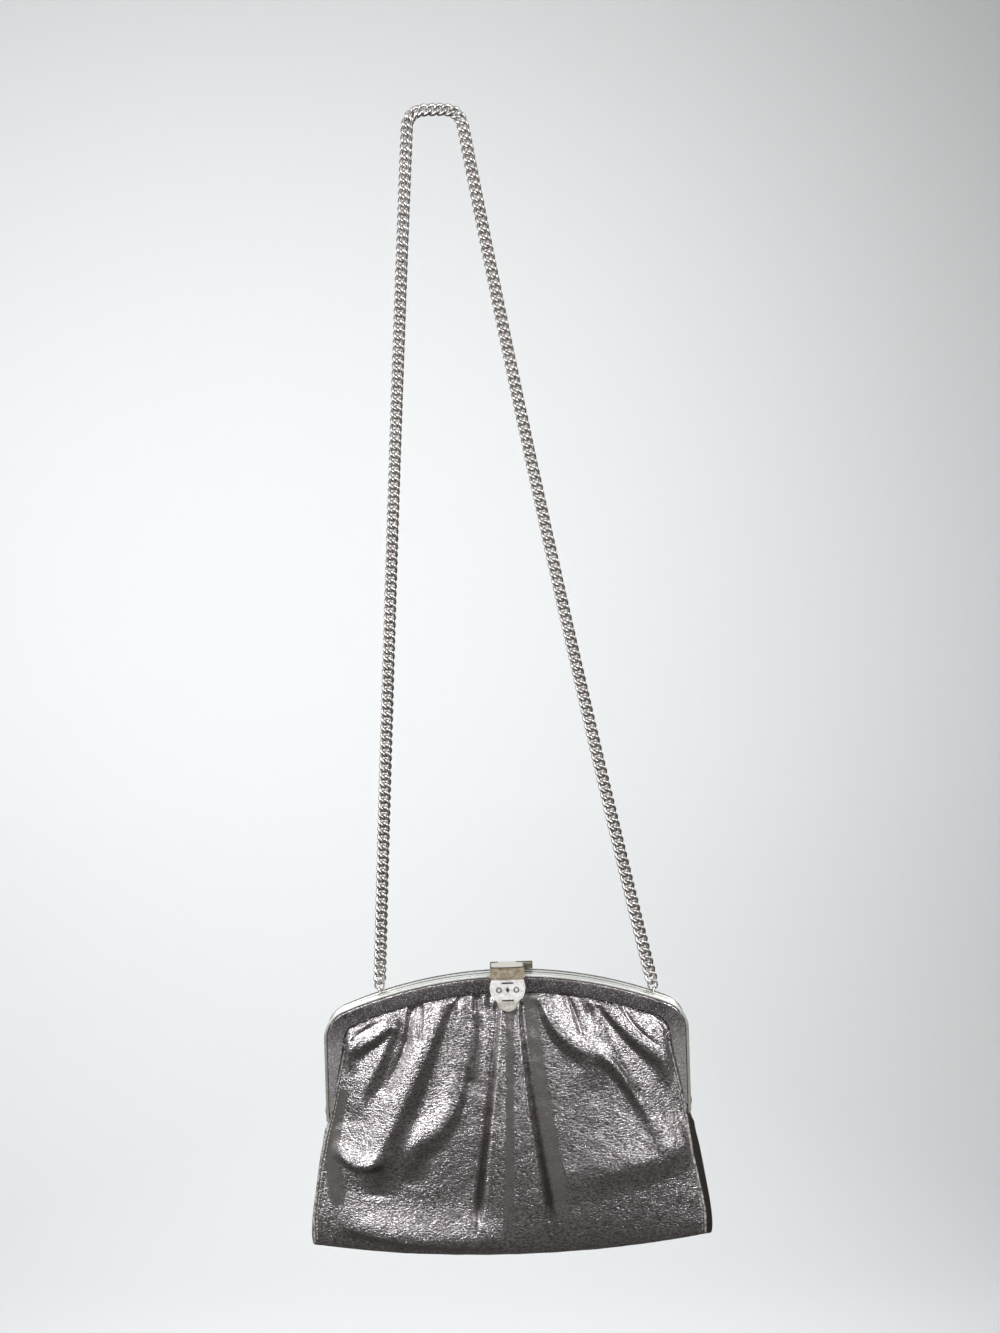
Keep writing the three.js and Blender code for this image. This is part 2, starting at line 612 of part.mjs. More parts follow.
const FINISHES = {
  leather: { color: 0x77716f, roughness: 0.4, metalness: 0.8 },
  cover: { color: 0x5f5857, roughness: 0.45, metalness: 0.7 },
  silver: { color: 0xc9cbcd, roughness: 0.25, metalness: 1 },
  worn: { color: 0xb4aa9c, roughness: 0.35, metalness: 1 },
};

const clutch = new THREE.Group();
const bag = new THREE.Group();
const clasp = new THREE.Group();
clutch.add(bag);
bag.add(clasp);
bag.position.set(BAG_RIGHT, -EYE_Y, -BAG_DROP);
clasp.position.setX(CLASP_RIGHT);

function addPiece(group, name, geometry, finish) {
  const piece = new THREE.Mesh(geometry, new THREE.MeshStandardMaterial(FINISHES[finish]));
  piece.name = name;
  group.add(piece);
}

const HANDS = [["left", -1], ["right", 1]];
addPiece(bag, "front_panel", panelGeometry(-1, FRONT_GRID), "leather");
addPiece(bag, "back_panel", panelGeometry(1, BACK_GRID), "leather");
addPiece(bag, "frame_front_rail", railGeometry(-1), "silver");
addPiece(bag, "frame_back_rail", backRailGeometry(), "silver");
addPiece(bag, "frame_front_cover", coverGeometry(-1), "cover");
addPiece(bag, "frame_back_cover", coverGeometry(1), "cover");
addPiece(clasp, "clasp_base", claspBaseGeometry(), "worn");
addPiece(clasp, "clasp_flap", claspFlapGeometry(), "silver");
addPiece(clasp, "clasp_stud", claspStudGeometry(), "worn");
for (const [word, hand] of HANDS) {
  addPiece(bag, `gusset_${word}`, gussetGeometry(hand), "leather");
  addPiece(bag, `hinge_rivet_${word}`, rivetGeometry(hand), "silver");
  addPiece(bag, `chain_ring_${word}`, ringGeometry(hand), "silver");
  addPiece(bag, `chain_${word}`, strandGeometry(hand), "silver");
}

export default clutch;
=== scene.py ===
"""Evening clutch of gathered metallic leather on an arched frame, hanging by its chain.

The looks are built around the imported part. Tables and sizes are millimetres in the bag's own
frame (x right, y back, z up from the top of the frame's arch); meshes, camera, stage and lights
are metres in the row frame.
"""

import math

import bpy
import numpy as np
from mathutils import Matrix, Vector, noise


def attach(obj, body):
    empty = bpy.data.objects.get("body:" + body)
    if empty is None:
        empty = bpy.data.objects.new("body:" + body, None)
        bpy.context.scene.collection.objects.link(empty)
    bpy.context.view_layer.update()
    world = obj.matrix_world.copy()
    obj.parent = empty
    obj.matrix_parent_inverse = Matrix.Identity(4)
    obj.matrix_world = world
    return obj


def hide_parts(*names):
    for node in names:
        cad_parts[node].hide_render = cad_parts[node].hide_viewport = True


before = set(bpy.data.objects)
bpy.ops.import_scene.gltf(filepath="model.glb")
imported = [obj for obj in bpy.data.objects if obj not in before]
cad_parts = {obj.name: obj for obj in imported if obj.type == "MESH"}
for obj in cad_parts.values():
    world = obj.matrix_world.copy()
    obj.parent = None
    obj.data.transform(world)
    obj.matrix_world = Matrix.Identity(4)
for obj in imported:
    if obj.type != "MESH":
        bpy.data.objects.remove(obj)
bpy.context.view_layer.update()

MM = 0.001
BAG_ORIGIN = np.array((24.1, -3.65, -452.0))
FACES = (("front", -1), ("back", 1))
HANDS = (("left", -1), ("right", 1))

# Frame
GAP = 0.3
FRAME_HALF_WIDTH = 95
ARCH_RADIUS = 231
CORNER_RADIUS = 16
HINGE_DROP = 74
FRAME_POINTS = 260
ARC_POINTS = 40
RAIL_THICKNESS = 1.4
RAIL_SHARP = 40
COVER_WIDTH = 7.5
COVER_THICKNESS = 1.7
COVER_FRONT = 6.75
COVER_DROP = 70
COVER_END_WIDTH = 1
COVER_CORNER_X = 86
COVER_CORNER_DROP = 38
COVER_CORNER_POINTS = 20
COVER_ARCH_X = 78.5
COVER_SQUARENESS = 4
COVER_SIDES = 28
COVER_SHARP = 60
RIVET_RADIUS = 2.6
RIVET_HEIGHT = 0.9
RIVET_CHAMFER = (0.1, 0.08)
RIVET_RIM_SHARE = 0.25
RIVET_FLAT_ANGLE = 0.05
RIVET_RINGS = 8
RIVET_ABOVE_END = 4
ARM_TOP_DROP = 20
# The rails darken to olive tarnish with painted shade down the arms, from the drop above to this one
ARM_WEAR_AND_SHADE_DROP = 30

# Leather
LEATHER = 1.2
PANEL_TUCK = 4
PANEL_TOP_HALF_WIDTH = 88.5
PANEL_BOTTOM_HALF_WIDTH = 103
SEAM_DEPTH = 0.02
ARM_FLARE = 1.4
FLARE_DROPS = ((HINGE_DROP + GAP, HINGE_DROP + 2.3), (HINGE_DROP + 1, HINGE_DROP + 12))
BOTTOM_DROP = 146.8
BOTTOM_RADIUS = 780
FLAT_EDGE = 0.96
BULGE_POWER = 3
GUSSET_GRID = (60, 25)
GUSSET_SETBACK = 0.2
GUSSET_WALL = 1.5
GUSSET_START = 0.06
GUSSET_END = 0.86
GUSSET_TOP_FOLD = 7
GUSSET_BOTTOM_FOLD = 11

# Folds, and the form of their steep sides and the smoothing and painted shade on them; a pair of stretches
# says where something sets in and where it ends, as shares of the way
FOLD_STEPS = 14
FOLD_ROWS = ((0.028, 0.052), (0.95, 1))
FOLD_SIDE_FADE = 0.045
DEEP_FOLD = 2.5
CREASE_FADE = 0.9
STEEP_FALL = 0.5
FALL_ALONG = ((0, 0.12), (0.82, 1))
FALL_ROUNDNESS = 0.6
FALL_STRETCH_AND_SHADE = 0.65
STRETCH_AND_SHADE_DOWN = ((0, 0.3), (0.6, 1))

# Crumpling: soft waves all over a panel (height and size), sharp creases under the frame's corners
SOFT_CRUMPLES = ((0.35, 9), (0.16, 4))
CRUMPLE_SIDE_FADE = 0.05
CRUMPLE_ROWS = ((0.12, 0.2), (0.9, 0.99))
PINCH_X = 82
PINCH_DROP = 31
PINCH_REACH = 6
PINCH_HEIGHT = 1.1
PINCH_SIZE = 3.2
NOISE_SHIFT = (1, 2.3, 5.1)

# Clasp
CLASP_RIGHT = 1.3
CLASP_HALF_WIDTH = 9
CLASP_SHARP = 35
HINGE_Y = 5.2
HINGE_Z = 2.6
BARREL_RADIUS = 1.4
PIN_RADIUS = 0.7
PIN_OVERLAP = 1
KNUCKLE_HALF = 4.2
KNUCKLE_FRONT = 3
BASE_END = 13.5
BASE_DEPTH = 3
FLAP_THICKNESS = 1.2
FLAP_TOP = 4
FLAP_BEND = 6.7
FLAP_BEND_POINTS = 16
FLAP_BEND_CLEAR = 0.4
FLAP_FRONT = 10.5
FLAP_COLUMNS = 33
FLAP_CROWN = 0.3
FLAP_EDGE_FALL = 0.35
FLAP_EDGE_POWER = 10
NECK_DROP = 2
NECK_TALL = 1
SHIELD_DROP = 12.8
TONGUE_DROP = 18.5
TONGUE_HALF_WIDTH = 6.1
ORNAMENT_DROP = 7.2
TAN_DROP = 2.2
MARK_STAND = 0.32
MARK_RING_X = 4.5
MARK_RING_RADIUS = 1.2
MARK_BAR_HALF = 3
MARK_BAR_DROPS = (3.6, 12.6)
MARK_BAR_SINK = 0.5
LOZENGE_HALF_WIDTH = 1.3
LOZENGE_HALF_HEIGHT = 1.8
LOZENGE_TIP = 0.7
LOZENGE_SINK = 0.2

# Curves of the flap's side below its neck, by control points of half width and drop
SHIELD_CURVE = ((8.3, NECK_DROP), (10.2, 7), (CLASP_HALF_WIDTH, 10.8), (TONGUE_HALF_WIDTH, SHIELD_DROP))
TONGUE_CURVE = ((TONGUE_HALF_WIDTH, SHIELD_DROP), (5, 15.5), (4.4, TONGUE_DROP), (0.05, TONGUE_DROP))
SHIELD_POINTS = 24
TONGUE_POINTS = 16

# Heights over which the looks of the flap change: to its tongue painted duller as shade, its tan bend with
# painted shade, a thin dark line and the rim
CLASP_ZONES = (
    (-SHIELD_DROP + 0.8, -SHIELD_DROP - 1.2), (-TAN_DROP - 0.3, -TAN_DROP + 0.3),
    (FLAP_TOP - 0.95, FLAP_TOP - 0.75), (FLAP_TOP - 0.5, FLAP_TOP - 0.35),
)

# Chain
LINK_PITCH = 4.15
LINK_WIRE = 1
LINK_HALF_WIDTH = 2.4
LINK_TWIST = math.radians(-50)
LINK_SIDES = 20
LINK_WIRE_SIDES = 8
CHAIN_WIDTH = 6.6
BAG_DROP = 452
HANG_HALF_WIDTH = 13.7
HANG_BEND = 9
STRAND_POINTS = 400
HANG_BEND_POINTS = 60
SAG = {-1: 0.8, 1: 3.2}
EYE_X = {-1: -66, 1: 78}
EYE_Y = 3.65
EYE_RADIUS = 1.6
EYE_WIRE = 0.5
EYE_RISE = 0.9
RING_RADIUS = 2.4
RING_WIRE = 0.5

# Sections of a panel from its top edge to the bottom seam
SECTION_COLUMNS = ("down", "depth", "edge_depth", "half_width")
SECTIONS = (
    (0, 4.7, 4.7, PANEL_TOP_HALF_WIDTH),
    (0.035, 5, 4.7, 88.5),
    (0.075, 6.3, 4.7, 88.6),
    (0.14, 8.2, 4.7, 89.2),
    (0.27, 11.4, 4.7, 90.8),
    (0.43, 14.3, 4.8, 92.5),
    (0.49, 15.3, 5.1, 95.9),
    (0.58, 16.5, 5.6, 98.6),
    (0.72, 17, 6.4, 101.3),
    (0.84, 16.2, 7, 103.4),
    (0.92, 14.4, 6.8, 104.2),
    (0.97, 11.4, 5.6, 104.1),
    (0.993, 6.2, 3.2, 103.5),
    (1, SEAM_DEPTH, SEAM_DEPTH, PANEL_BOTTOM_HALF_WIDTH),
)

# Folds of a panel, each as its start, middle and end (right, drop and height; a height below zero is
# a valley), its half width at both ends and, where it has a steep side, that side's width at both
# ends: above zero on the right of a line drawn downwards and below zero on its left
FRONT_FOLDS = (
    # centre pleat: its left edge and crease, its right edge, the narrow crease and the smooth band beyond
    ((-2, 14, 1.2), (-5.5, 52, 1.9), (-16.5, 130, 2.4), (7, 10), (-2.5, -5.5)),
    ((-4.5, 15, -0.6), (-9, 54, -1), (-19, 133, -2.6), (1.2, 2.6), (0, 0)),
    ((6.5, 15.5, 0.7), (9.3, 54, 0.9), (18.5, 126, 0.8), (2, 3), (0, 0)),
    ((8, 15.5, -1.1), (11, 54, -2), (22.5, 133, -3), (0.8, 2.8), (0, 0)),
    ((8, -4, 0.6), (12, 50, 0.8), (23, 127, 0.8), (1.2, 2.5), (8, 9.5)),
    # left side: two long rolls that fall steeply on their lower right
    ((-30.5, 10.5, 2), (-47, 48, 4.2), (-70, 92, 4.6), (9, 12), (5.5, 13)),
    ((-21, 36, 0.2), (-30.5, 69, 2.8), (-52, 86, 3.4), (7, 9), (4, 11)),
    # upper left: a round roll with a crease on its right, and the ridges under the corner
    ((-56.5, 19, 0.8), (-66, 42, 2.4), (-79, 64, 1.2), (4, 7), (4, 8)),
    ((-50, 15, -1.6), (-54, 39, -1.5), (-67, 61, -0.6), (1.5, 4), (0, 0)),
    ((-59, 23, 0.8), (-70.5, 31.5, 4.2), (-84, 38.5, 3.6), (6.5, 7.5), (4, 7)),
    ((-63.5, 19.5, 0.5), (-75, 25, 1.4), (-83, 29, 1.2), (2, 2.5), (0, 0)),
    ((-63.5, 22, -0.3), (-74.5, 27, -0.4), (-82, 32, -0.3), (1.2, 1.5), (0, 0)),
    # slits and notches under the left half of the frame
    ((-44, 13, -1.5), (-44.5, 24.5, -1.5), (-45, 34, -0.8), (1.1, 1.4), (0, 0)),
    ((-47, 13, -1.2), (-47.5, 17.5, -1.1), (-48, 21.5, -0.5), (1.4, 1.4), (0, 0)),
    ((-24, 10, -1.4), (-25.5, 14, -1.2), (-29, 18.5, -0.3), (2, 2.2), (0, 0)),
    ((-15, 9, -1.2), (-15, 30, -1.5), (-20.5, 60, -1), (2.5, 5.5), (0, 0)),
    ((-8, 10, -1), (-8, 14, -0.9), (-8.5, 20, -0.2), (2, 2.5), (0, 0)),
    # lower left: the nose of the long roll, the hollows below it and the shelf along the bottom
    ((-90, 88.5, 1.2), (-78.5, 94, 3.6), (-64, 90.5, 2), (5, 5.5), (-4.5, -6)),
    ((-59, 82, -0.6), (-66.5, 98.5, -1.5), (-69.5, 113, -0.5), (5, 7), (0, 0)),
    ((-43, 82, -0.4), (-47.5, 94, -1.2), (-51, 107, -0.3), (4, 7), (0, 0)),
    ((-93, 125, 0.2), (-47, 133, 7.2), (0, 135.5, 1.4), (12, 13), (-7, -7)),
    # right side: the bulge under the frame, its long crest and the crease beside that
    ((18.5, 11, 1.8), (27.5, 30, 4), (45, 41, 3.6), (9, 11), (-4, -10)),
    ((43, 39.5, 1), (57.5, 50, 3.4), (74, 81, 0.5), (4.5, 2.5), (-8, -4.5)),
    ((54, 41, -0.4), (61.5, 52, -1), (69.5, 67, -0.5), (1.6, 1.8), (0, 0)),
    # right side: the rolls that fan out to the corner, with their creases
    ((44.5, 14.5, 1), (62, 45.5, 2.4), (83, 88, 1.6), (4, 6.5), (0, 0)),
    ((47.5, 12.5, 1.6), (63, 31.5, 3.6), (86, 51, 2.4), (5.5, 7), (-3, -7)),
    ((60, 16, -0.7), (67.5, 29, -1), (80.5, 40, -0.6), (1, 1.3), (0, 0)),
    ((63, 19.5, 1.4), (73.5, 30.5, 2.6), (84.5, 44, 2), (6.5, 7.5), (0, 0)),
    ((69.5, 20.5, -0.6), (80.5, 27.5, -0.8), (87, 39, -0.4), (0.9, 1.1), (0, 0)),
    ((33, 12.5, -1), (36, 21.5, -1.9), (40, 33, -1), (0.9, 1.9), (0, 0)),
    ((43.5, 15, -0.9), (45, 23, -0.8), (47, 30, -0.3), (1.3, 1.5), (0, 0)),
    # broad roll across the lower right, with painted shade on its steep fall below
    ((22, 104, 0.5), (64.5, 97, 2.8), (99, 91, 1.6), (12, 10), (-16, -15)),
)
BACK_FOLDS = (
    ((-6, 14, -2), (-10, 60, -2), (-18, 112, -0.5), (4, 8), (0, 0)),
    ((7, 14, -2), (12, 60, -2), (20, 112, -0.5), (4, 8), (0, 0)),
    ((-36, 13, 2), (-52, 52, 3), (-72, 92, 1.5), (9, 12), (5, 9)),
    ((36, 13, 2), (52, 52, 3), (72, 92, 1.5), (9, 12), (-5, -9)),
    ((-58, 19, -1.5), (-74, 40, -1.4), (-84, 66, -0.4), (4, 6), (0, 0)),
    ((58, 19, -1.5), (74, 40, -1.4), (84, 66, -0.4), (4, 6), (0, 0)),
    ((-90, 132, 1.5), (0, 138, 2.5), (90, 132, 1.5), (12, 12), (-6, -6)),
)

# Bands of the front where the foil is worn smooth and painted darker as painted shade: a line as for a
# fold, without heights, and the width of the band on its right at both ends
FRONT_BANDS = (
    ((8.5, 4), (12, 54), (23.5, 132), (9, 11)),
    ((-0.6, 14), (-2, 70), (-6, 138), (5, 6.5)),
    ((-88.5, 56), (-96.5, 86), (-94, 121), (8, 12)),
)
BAND_ALONG = ((0, 0.03), (0.85, 1))
BAND_ACROSS = ((0, 0.25), (0.55, 1))

# Meshes of the panels, and the flat leather that each is cut from, in metres
FRONT_GRID = (326, 238)
BACK_GRID = (180, 130)
ROW_STEPS = 2000
INNER_STEP = 2
FRONT_SEED = 3
BACK_SEED = 7

# Small gathers that the frame pinches into the top of a panel: each draws its place, length, fan,
# half width and height between two values, and its middle lies at a share of fan, length and height
GATHER_COUNT = 30
GATHER_REACH = 80
GATHER_SEED = 11
GATHER_PLACE = (0.2, 0.8)
GATHER_LENGTH = (8, 22)
GATHER_FAN = (0.4, 0.9)
GATHER_WIDTH = (1.2, 2.1)
GATHER_HEIGHT = (0.4, 0.8)
GATHER_MIDDLE = (0.4, 0.5, 0.6)
GATHER_SPREAD = 1.6
GATHER_TUCK = 1
PLEAT_X = 4
PLEAT_CLEAR = 13

# Cross-section of a rail: depth from the closing plane and inset from the frame's outer line
RAIL_PROFILE = (
    (0.15, 0.55), (0.25, 0.35), (0.6, 0.25), (2.7, 0.18), (4.9, 0.25), (5.25, 0.36), (5.55, 0.16),
    (5.95, 0.02), (6.4, 0), (6.8, 0.1), (7.06, 0.35), (7.15, 0.7), (7.06, 1.08), (6.75, 1.32),
    (6.2, 1.4), (0.6, 1.4), (0.27, 1.28), (0.15, 1),
)

# Painted shade and tarnish across a rail, by depth from the closing plane as a share of its reach: dark
# lines of painted shade in the closing gap and in the groove behind the bead, how metallic it is and how far
# its arms darken to olive tarnish with painted shade. The back rail's bead is painted dark as shade, between
# two depths
RAIL_REACH = 7.5
RAIL_LINES = ((0, 0.9), (0.09, 0.9), (0.14, 0.0), (0.58, 0.0), (0.63, 0.85), (0.69, 0.85), (0.73, 0.0))
RAIL_METALLIC = ((0.7, 1.0), (0.74, 0.25))
RAIL_WEAR_AND_SHADE = ((0.7, 1.0), (0.74, 0.6))
BACK_BEAD_DEPTHS = (4.6, 5.4)

# Side seams of a panel as distance from its middle and drop, from under the frame's corner down, and
# the spans across and down the panel that are searched for their depth: from, to and how many
SEAM_PATHS = {
    -1: ((84.5, 38), (89.2, 56), (92.6, 71), (96.2, 84), (100.2, 104), (103, 124), (103.1, 137)),
    1: ((84.5, 38), (88.6, 56), (91.8, 71), (95, 96), (98.5, 114), (100.5, 126), (100.6, 138)),
}
SEAM_STAND = 0.15
SEAM_SEARCH = ((0.86, 1, 70), (0.1, 1, 500))
SEAM_SMOOTHING = 9
MARGIN_BEGINS = (0.3, 0.9)
MARGIN_DROPS = (HINGE_DROP - 4, HINGE_DROP)
PIPING_POINTS = 140
PIPING_RADIUS = 0.55
PIPING_SIDES = 10
STITCHED_POINTS = 400
STITCH_POINTS = 9
STITCH_LENGTH = 7
STITCH_INSET = 1.5
STITCH_SINK = 0.3
STITCH_RADIUS = 0.24
STITCH_SIDES = 8

# Fold of a gusset across its strip
GUSSET_FOLD = ((-1, 0), (-0.5, 0.45), (0, 1), (0.5, 0.45), (1, 0))

# Camera at the photograph's place; its lens follows from the focal length and picture height in pixels
CAMERA_PLACE = (0.02645, -0.68685, -0.2918)
CAMERA_ROLL = math.radians(-1.71)
SENSOR_WIDTH = 36
FOCAL_PIXELS = 1300
PHOTO_PIXELS = 1333
NEAR_CLIP = 0.01

# Stage, in metres
FLOOR_Z = -1.15
FLOOR_FRONT = -1.2
WALL_Y = 1.7
WALL_TOP = 1.6
SWEEP = 0.6
SWEEP_POINTS = 14
STAGE_HALF_WIDTH = 6
BAG_MIDDLE = (0.024, 0, -0.52)

# Soft lights: name, place, the point that each faces, size and power
SOFTBOXES = (
    ("key_left", (-0.63, -0.72, 0.2), BAG_MIDDLE, (0.42, 0.38), 9.5),
    ("key_right", (0.72, -0.72, 0.2), BAG_MIDDLE, (0.42, 0.38), 8.2),
    ("side_left", (-1.0, -0.2, -0.1), (0, 0, -0.22), (0.4, 0.7), 1.6),
    ("top", (0.0, -0.2, 0.9), (0.024, 0, -0.4), (0.7, 0.4), 2),
    ("wall_light", (-0.75, 0.55, 0.2), (-0.75, WALL_Y, 0.2), (3.0, 2.2), 24.5),
    ("back_left", (0.7, 0.9, -0.1), BAG_MIDDLE, (0.5, 0.5), 3),
    ("back_right", (-0.6, 0.95, -0.1), BAG_MIDDLE, (0.5, 0.5), 2.5),
)


# Shared helpers

def lerp(a, b, share):
    return a + (b - a) * share


def smoothstep(value, low, high):
    share = np.clip((value - low) / (high - low), 0, 1)
    return share * share * (3 - 2 * share)


def window(value, rise, fall):
    """Up from 0 to 1 over one stretch and back to 0 over another."""
    return smoothstep(value, *rise) * (1 - smoothstep(value, *fall))


def unit(vectors):
    return vectors / np.linalg.norm(vectors, axis=-1, keepdims=True)


def full_turn(count):
    return np.linspace(0, 2 * math.pi, count, endpoint=False)


def coordinates(*values):
    """Points from their coordinates, all spread to one shape."""
    return np.stack(np.broadcast_arrays(*values), -1)


def bezier(points, count):
    share = np.linspace(0, 1, count)[:, None]
    line = [np.array(point, float) for point in points]
    while len(line) > 1:
        line = [lerp(a, b, share) for a, b in zip(line, line[1:])]
    return line[0]


def run_length(points):
    """Length along a polyline from its start to each point."""
    steps = np.linalg.norm(np.diff(points, axis=0), axis=1)
    return np.concatenate([[0], np.cumsum(steps)])


def even_line(points, count):
    """Points spread evenly along a polyline."""
    points = np.asarray(points, float)
    length = run_length(points)
    at = np.linspace(0, length[-1], count)
    return np.stack([np.interp(at, length, column) for column in points.T], -1)


def read_table(columns, rows, at):
    """Each column read smoothly, from the first row at 0 to the last row at 1."""
    values = np.array(rows, float)
    last = len(values) - 1
    index = np.minimum((at * last).astype(int), last - 1)
    share = (at * last - index)[..., None]
    before, here, after, beyond = (values[np.clip(index + step, 0, last)] for step in (-1, 0, 1, 2))
    slope_in = (after - before) / 2
    slope_out = (beyond - here) / 2
    bend = 3 * (after - here) - 2 * slope_in - slope_out
    twist = slope_in + slope_out - 2 * (after - here)
    found = here + share * (slope_in + share * (bend + share * twist))
    return {name: found[..., i] for i, name in enumerate(columns)}


def row_place(points):
    """Bag millimetres to row metres."""
    return (np.asarray(points, float).reshape(-1, 3) + BAG_ORIGIN) * MM


def add_object(name, data):
    made = bpy.data.objects.new(name, data)
    bpy.context.scene.collection.objects.link(made)
    return made


def make_mesh(name, points, faces, materials, face_materials=None, sharp=None):
    mesh = bpy.data.meshes.new(name)
    mesh.from_pydata(points, [], faces)
    for material in materials:
        mesh.materials.append(material)
    if face_materials is not None:
        mesh.polygons.foreach_set("material_index", face_materials)
    mesh.validate()
    mesh.shade_smooth()
    if sharp is not None:
        mesh.set_sharp_from_angle(angle=math.radians(sharp))
    return mesh


def make_piece(name, part, materials, slot, *nodes, body="bag", face_materials=None, sharp=None):
    """A piece from points in bag millimetres and faces, riding on a body in place of CAD nodes."""
    points, faces = part
    mesh = make_mesh(name, row_place(points).tolist(), faces, materials, face_materials, sharp)
    piece = add_object(name, mesh)
    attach(piece, body)
    if nodes:
        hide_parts(*nodes)
    return piece


def join_parts(parts):
    """Points and faces of several (points, faces) parts as one mesh."""
    points, faces, start = [], [], 0
    for part_points, part_faces in parts:
        flat = np.asarray(part_points, float).reshape(-1, 3)
        points.append(flat)
        faces.extend(tuple(start + i for i in face) for face in part_faces)
        start += len(flat)
    return np.concatenate(points), faces


def turned(faces):
    return [tuple(reversed(face)) for face in faces]


def facing(faces, side):
    """Faces as wound for the front or the right, turned for the other side."""
    return turned(faces) if side > 0 else faces


def quads(*corners):
    return [tuple(face) for face in np.stack(corners, -1).reshape(-1, 4).tolist()]


def grid_faces(index):
    return quads(index[:-1, :-1], index[1:, :-1], index[1:, 1:], index[:-1, 1:])


def tube_faces(stations, sides, closed=False):
    """Quads of a tube of rings, with end caps unless it closes on itself."""
    index = np.arange(stations * sides).reshape(stations, sides)
    below = np.roll(index, -1, 0)
    faces = quads(index, np.roll(index, -1, 1), np.roll(below, -1, 1), below)
    if closed:
        return faces
    return faces[:-sides] + [tuple(index[0, ::-1].tolist()), tuple(index[-1].tolist())]


def wall(outer, inner):
    """A closed wall between two grids of points; the inner one may be coarser by a whole number."""
    near = np.arange(outer[..., 0].size).reshape(outer.shape[:2])
    far = near.size + np.arange(inner[..., 0].size).reshape(inner.shape[:2])
    step = (near.shape[0] - 1) // (far.shape[0] - 1)
    faces = grid_faces(near) + turned(grid_faces(far))
    for near_line, far_line in (
        (near[::-1, 0], far[::-1, 0]), (near[:, -1], far[:, -1]),
        (near[0], far[0]), (near[-1, ::-1], far[-1, ::-1]),
    ):
        near_line, far_line = near_line.tolist(), far_line.tolist()
        for i in range(len(far_line) - 1):
            rim = near_line[i * step:(i + 1) * step + 1]
            faces.append((*rim, far_line[i + 1], far_line[i]))
    return np.concatenate([outer.reshape(-1, 3), inner.reshape(-1, 3)]), faces


def axis_basis(axis):
    """Two directions across an axis and the axis itself."""
    axis = Vector(axis).normalized()
    first = axis.orthogonal().normalized()
    return np.array([first, axis.cross(first), axis])


def torus(centre, axis, radius, wire, sides=32, wire_sides=12):
    """A wire ring round an axis."""
    turn = full_turn(sides)[:, None]
    roll = full_turn(wire_sides)[None, :]
    reach = radius + wire * np.cos(roll)
    local = coordinates(reach * np.cos(turn), reach * np.sin(turn), wire * np.sin(roll))
    return local @ axis_basis(axis) + centre, turned(tube_faces(sides, wire_sides, closed=True))


def lathe(centre, axis, profile, sides=28):
    """A turned solid: profile rows are (radius, distance along the axis) from one end to the other."""
    turn = full_turn(sides)
    rings = [coordinates(r * np.cos(turn), r * np.sin(turn), d) for r, d in profile]
    return np.array(rings) @ axis_basis(axis) + centre, tube_faces(len(profile), sides)


def tube(line, radius, sides):
    """A round tube along a line of points."""
    along = unit(np.gradient(line, axis=0))
    first = unit(np.cross(along, (0.0, 1.0, 0.0)))
    second = np.cross(along, first)
    turn = full_turn(sides)[None, :, None]
    rings = line[:, None] + radius * (np.cos(turn) * first[:, None] + np.sin(turn) * second[:, None])
    return rings, tube_faces(len(line), sides)


# Frame lines

corner_x = FRAME_HALF_WIDTH - CORNER_RADIUS
corner_lean = math.asin(corner_x / (ARCH_RADIUS - CORNER_RADIUS))
corner_z = -ARCH_RADIUS + (ARCH_RADIUS - CORNER_RADIUS) * math.cos(corner_lean)


def arch_z(x, radius=ARCH_RADIUS):
    return -ARCH_RADIUS + np.sqrt(radius**2 - np.square(x))


def arc(centre, radius, start, end):
    angle = np.linspace(start, end, ARC_POINTS)
    return coordinates(centre[0] + radius * np.cos(angle), centre[1] + radius * np.sin(angle))


def frame_line(inset, drop):
    """Outer line of the frame moved inwards, from its lower left end over the arch, as (x, z)."""
    upright = math.pi / 2
    side = FRAME_HALF_WIDTH - inset
    line = np.concatenate([
        [(-side, -drop)],
        arc((-corner_x, corner_z), CORNER_RADIUS - inset, math.pi, upright + corner_lean),
        arc((0, -ARCH_RADIUS), ARCH_RADIUS - inset, upright + corner_lean, upright - corner_lean),
        arc((corner_x, corner_z), CORNER_RADIUS - inset, upright - corner_lean, 0),
        [(side, -drop)],
    ])
    return even_line(line, FRAME_POINTS)


def cover_inner_line():
    """Lower edge of the leather-covered face, from its lower left end to the right."""
    inset = RAIL_THICKNESS + GAP
    radius = ARCH_RADIUS - inset - COVER_WIDTH
    lean = math.asin(COVER_ARCH_X / radius)
    arch_end = float(arch_z(COVER_ARCH_X, radius))
    corner_top = arch_end - (COVER_CORNER_X - COVER_ARCH_X) * math.tan(lean)
    corner = ((COVER_CORNER_X, -COVER_CORNER_DROP), (COVER_CORNER_X, corner_top), (COVER_ARCH_X, arch_end))
    right = bezier(corner, COVER_CORNER_POINTS)
    end_x = FRAME_HALF_WIDTH - inset - COVER_END_WIDTH
    line = np.concatenate([
        [(-end_x, -COVER_DROP)], right * (-1, 1),
        arc((0, -ARCH_RADIUS), radius, math.pi / 2 + lean, math.pi / 2 - lean),
        right[::-1], [(end_x, -COVER_DROP)],
    ])
    return even_line(line, FRAME_POINTS)


# Frame pieces

def frame_part(lines, depth, side):
    """A bar along the frame from its long edges as (x, z) and the depth of each."""
    points = coordinates(lines[..., 0], side * depth, lines[..., 1])
    return points, facing(tube_faces(FRAME_POINTS, len(depth)), side)


def rail_part(side):
    depth, insets = np.array(RAIL_PROFILE).T
    lines = np.stack([frame_line(inset, HINGE_DROP) for inset in insets], 1)
    return frame_part(lines, depth, side)


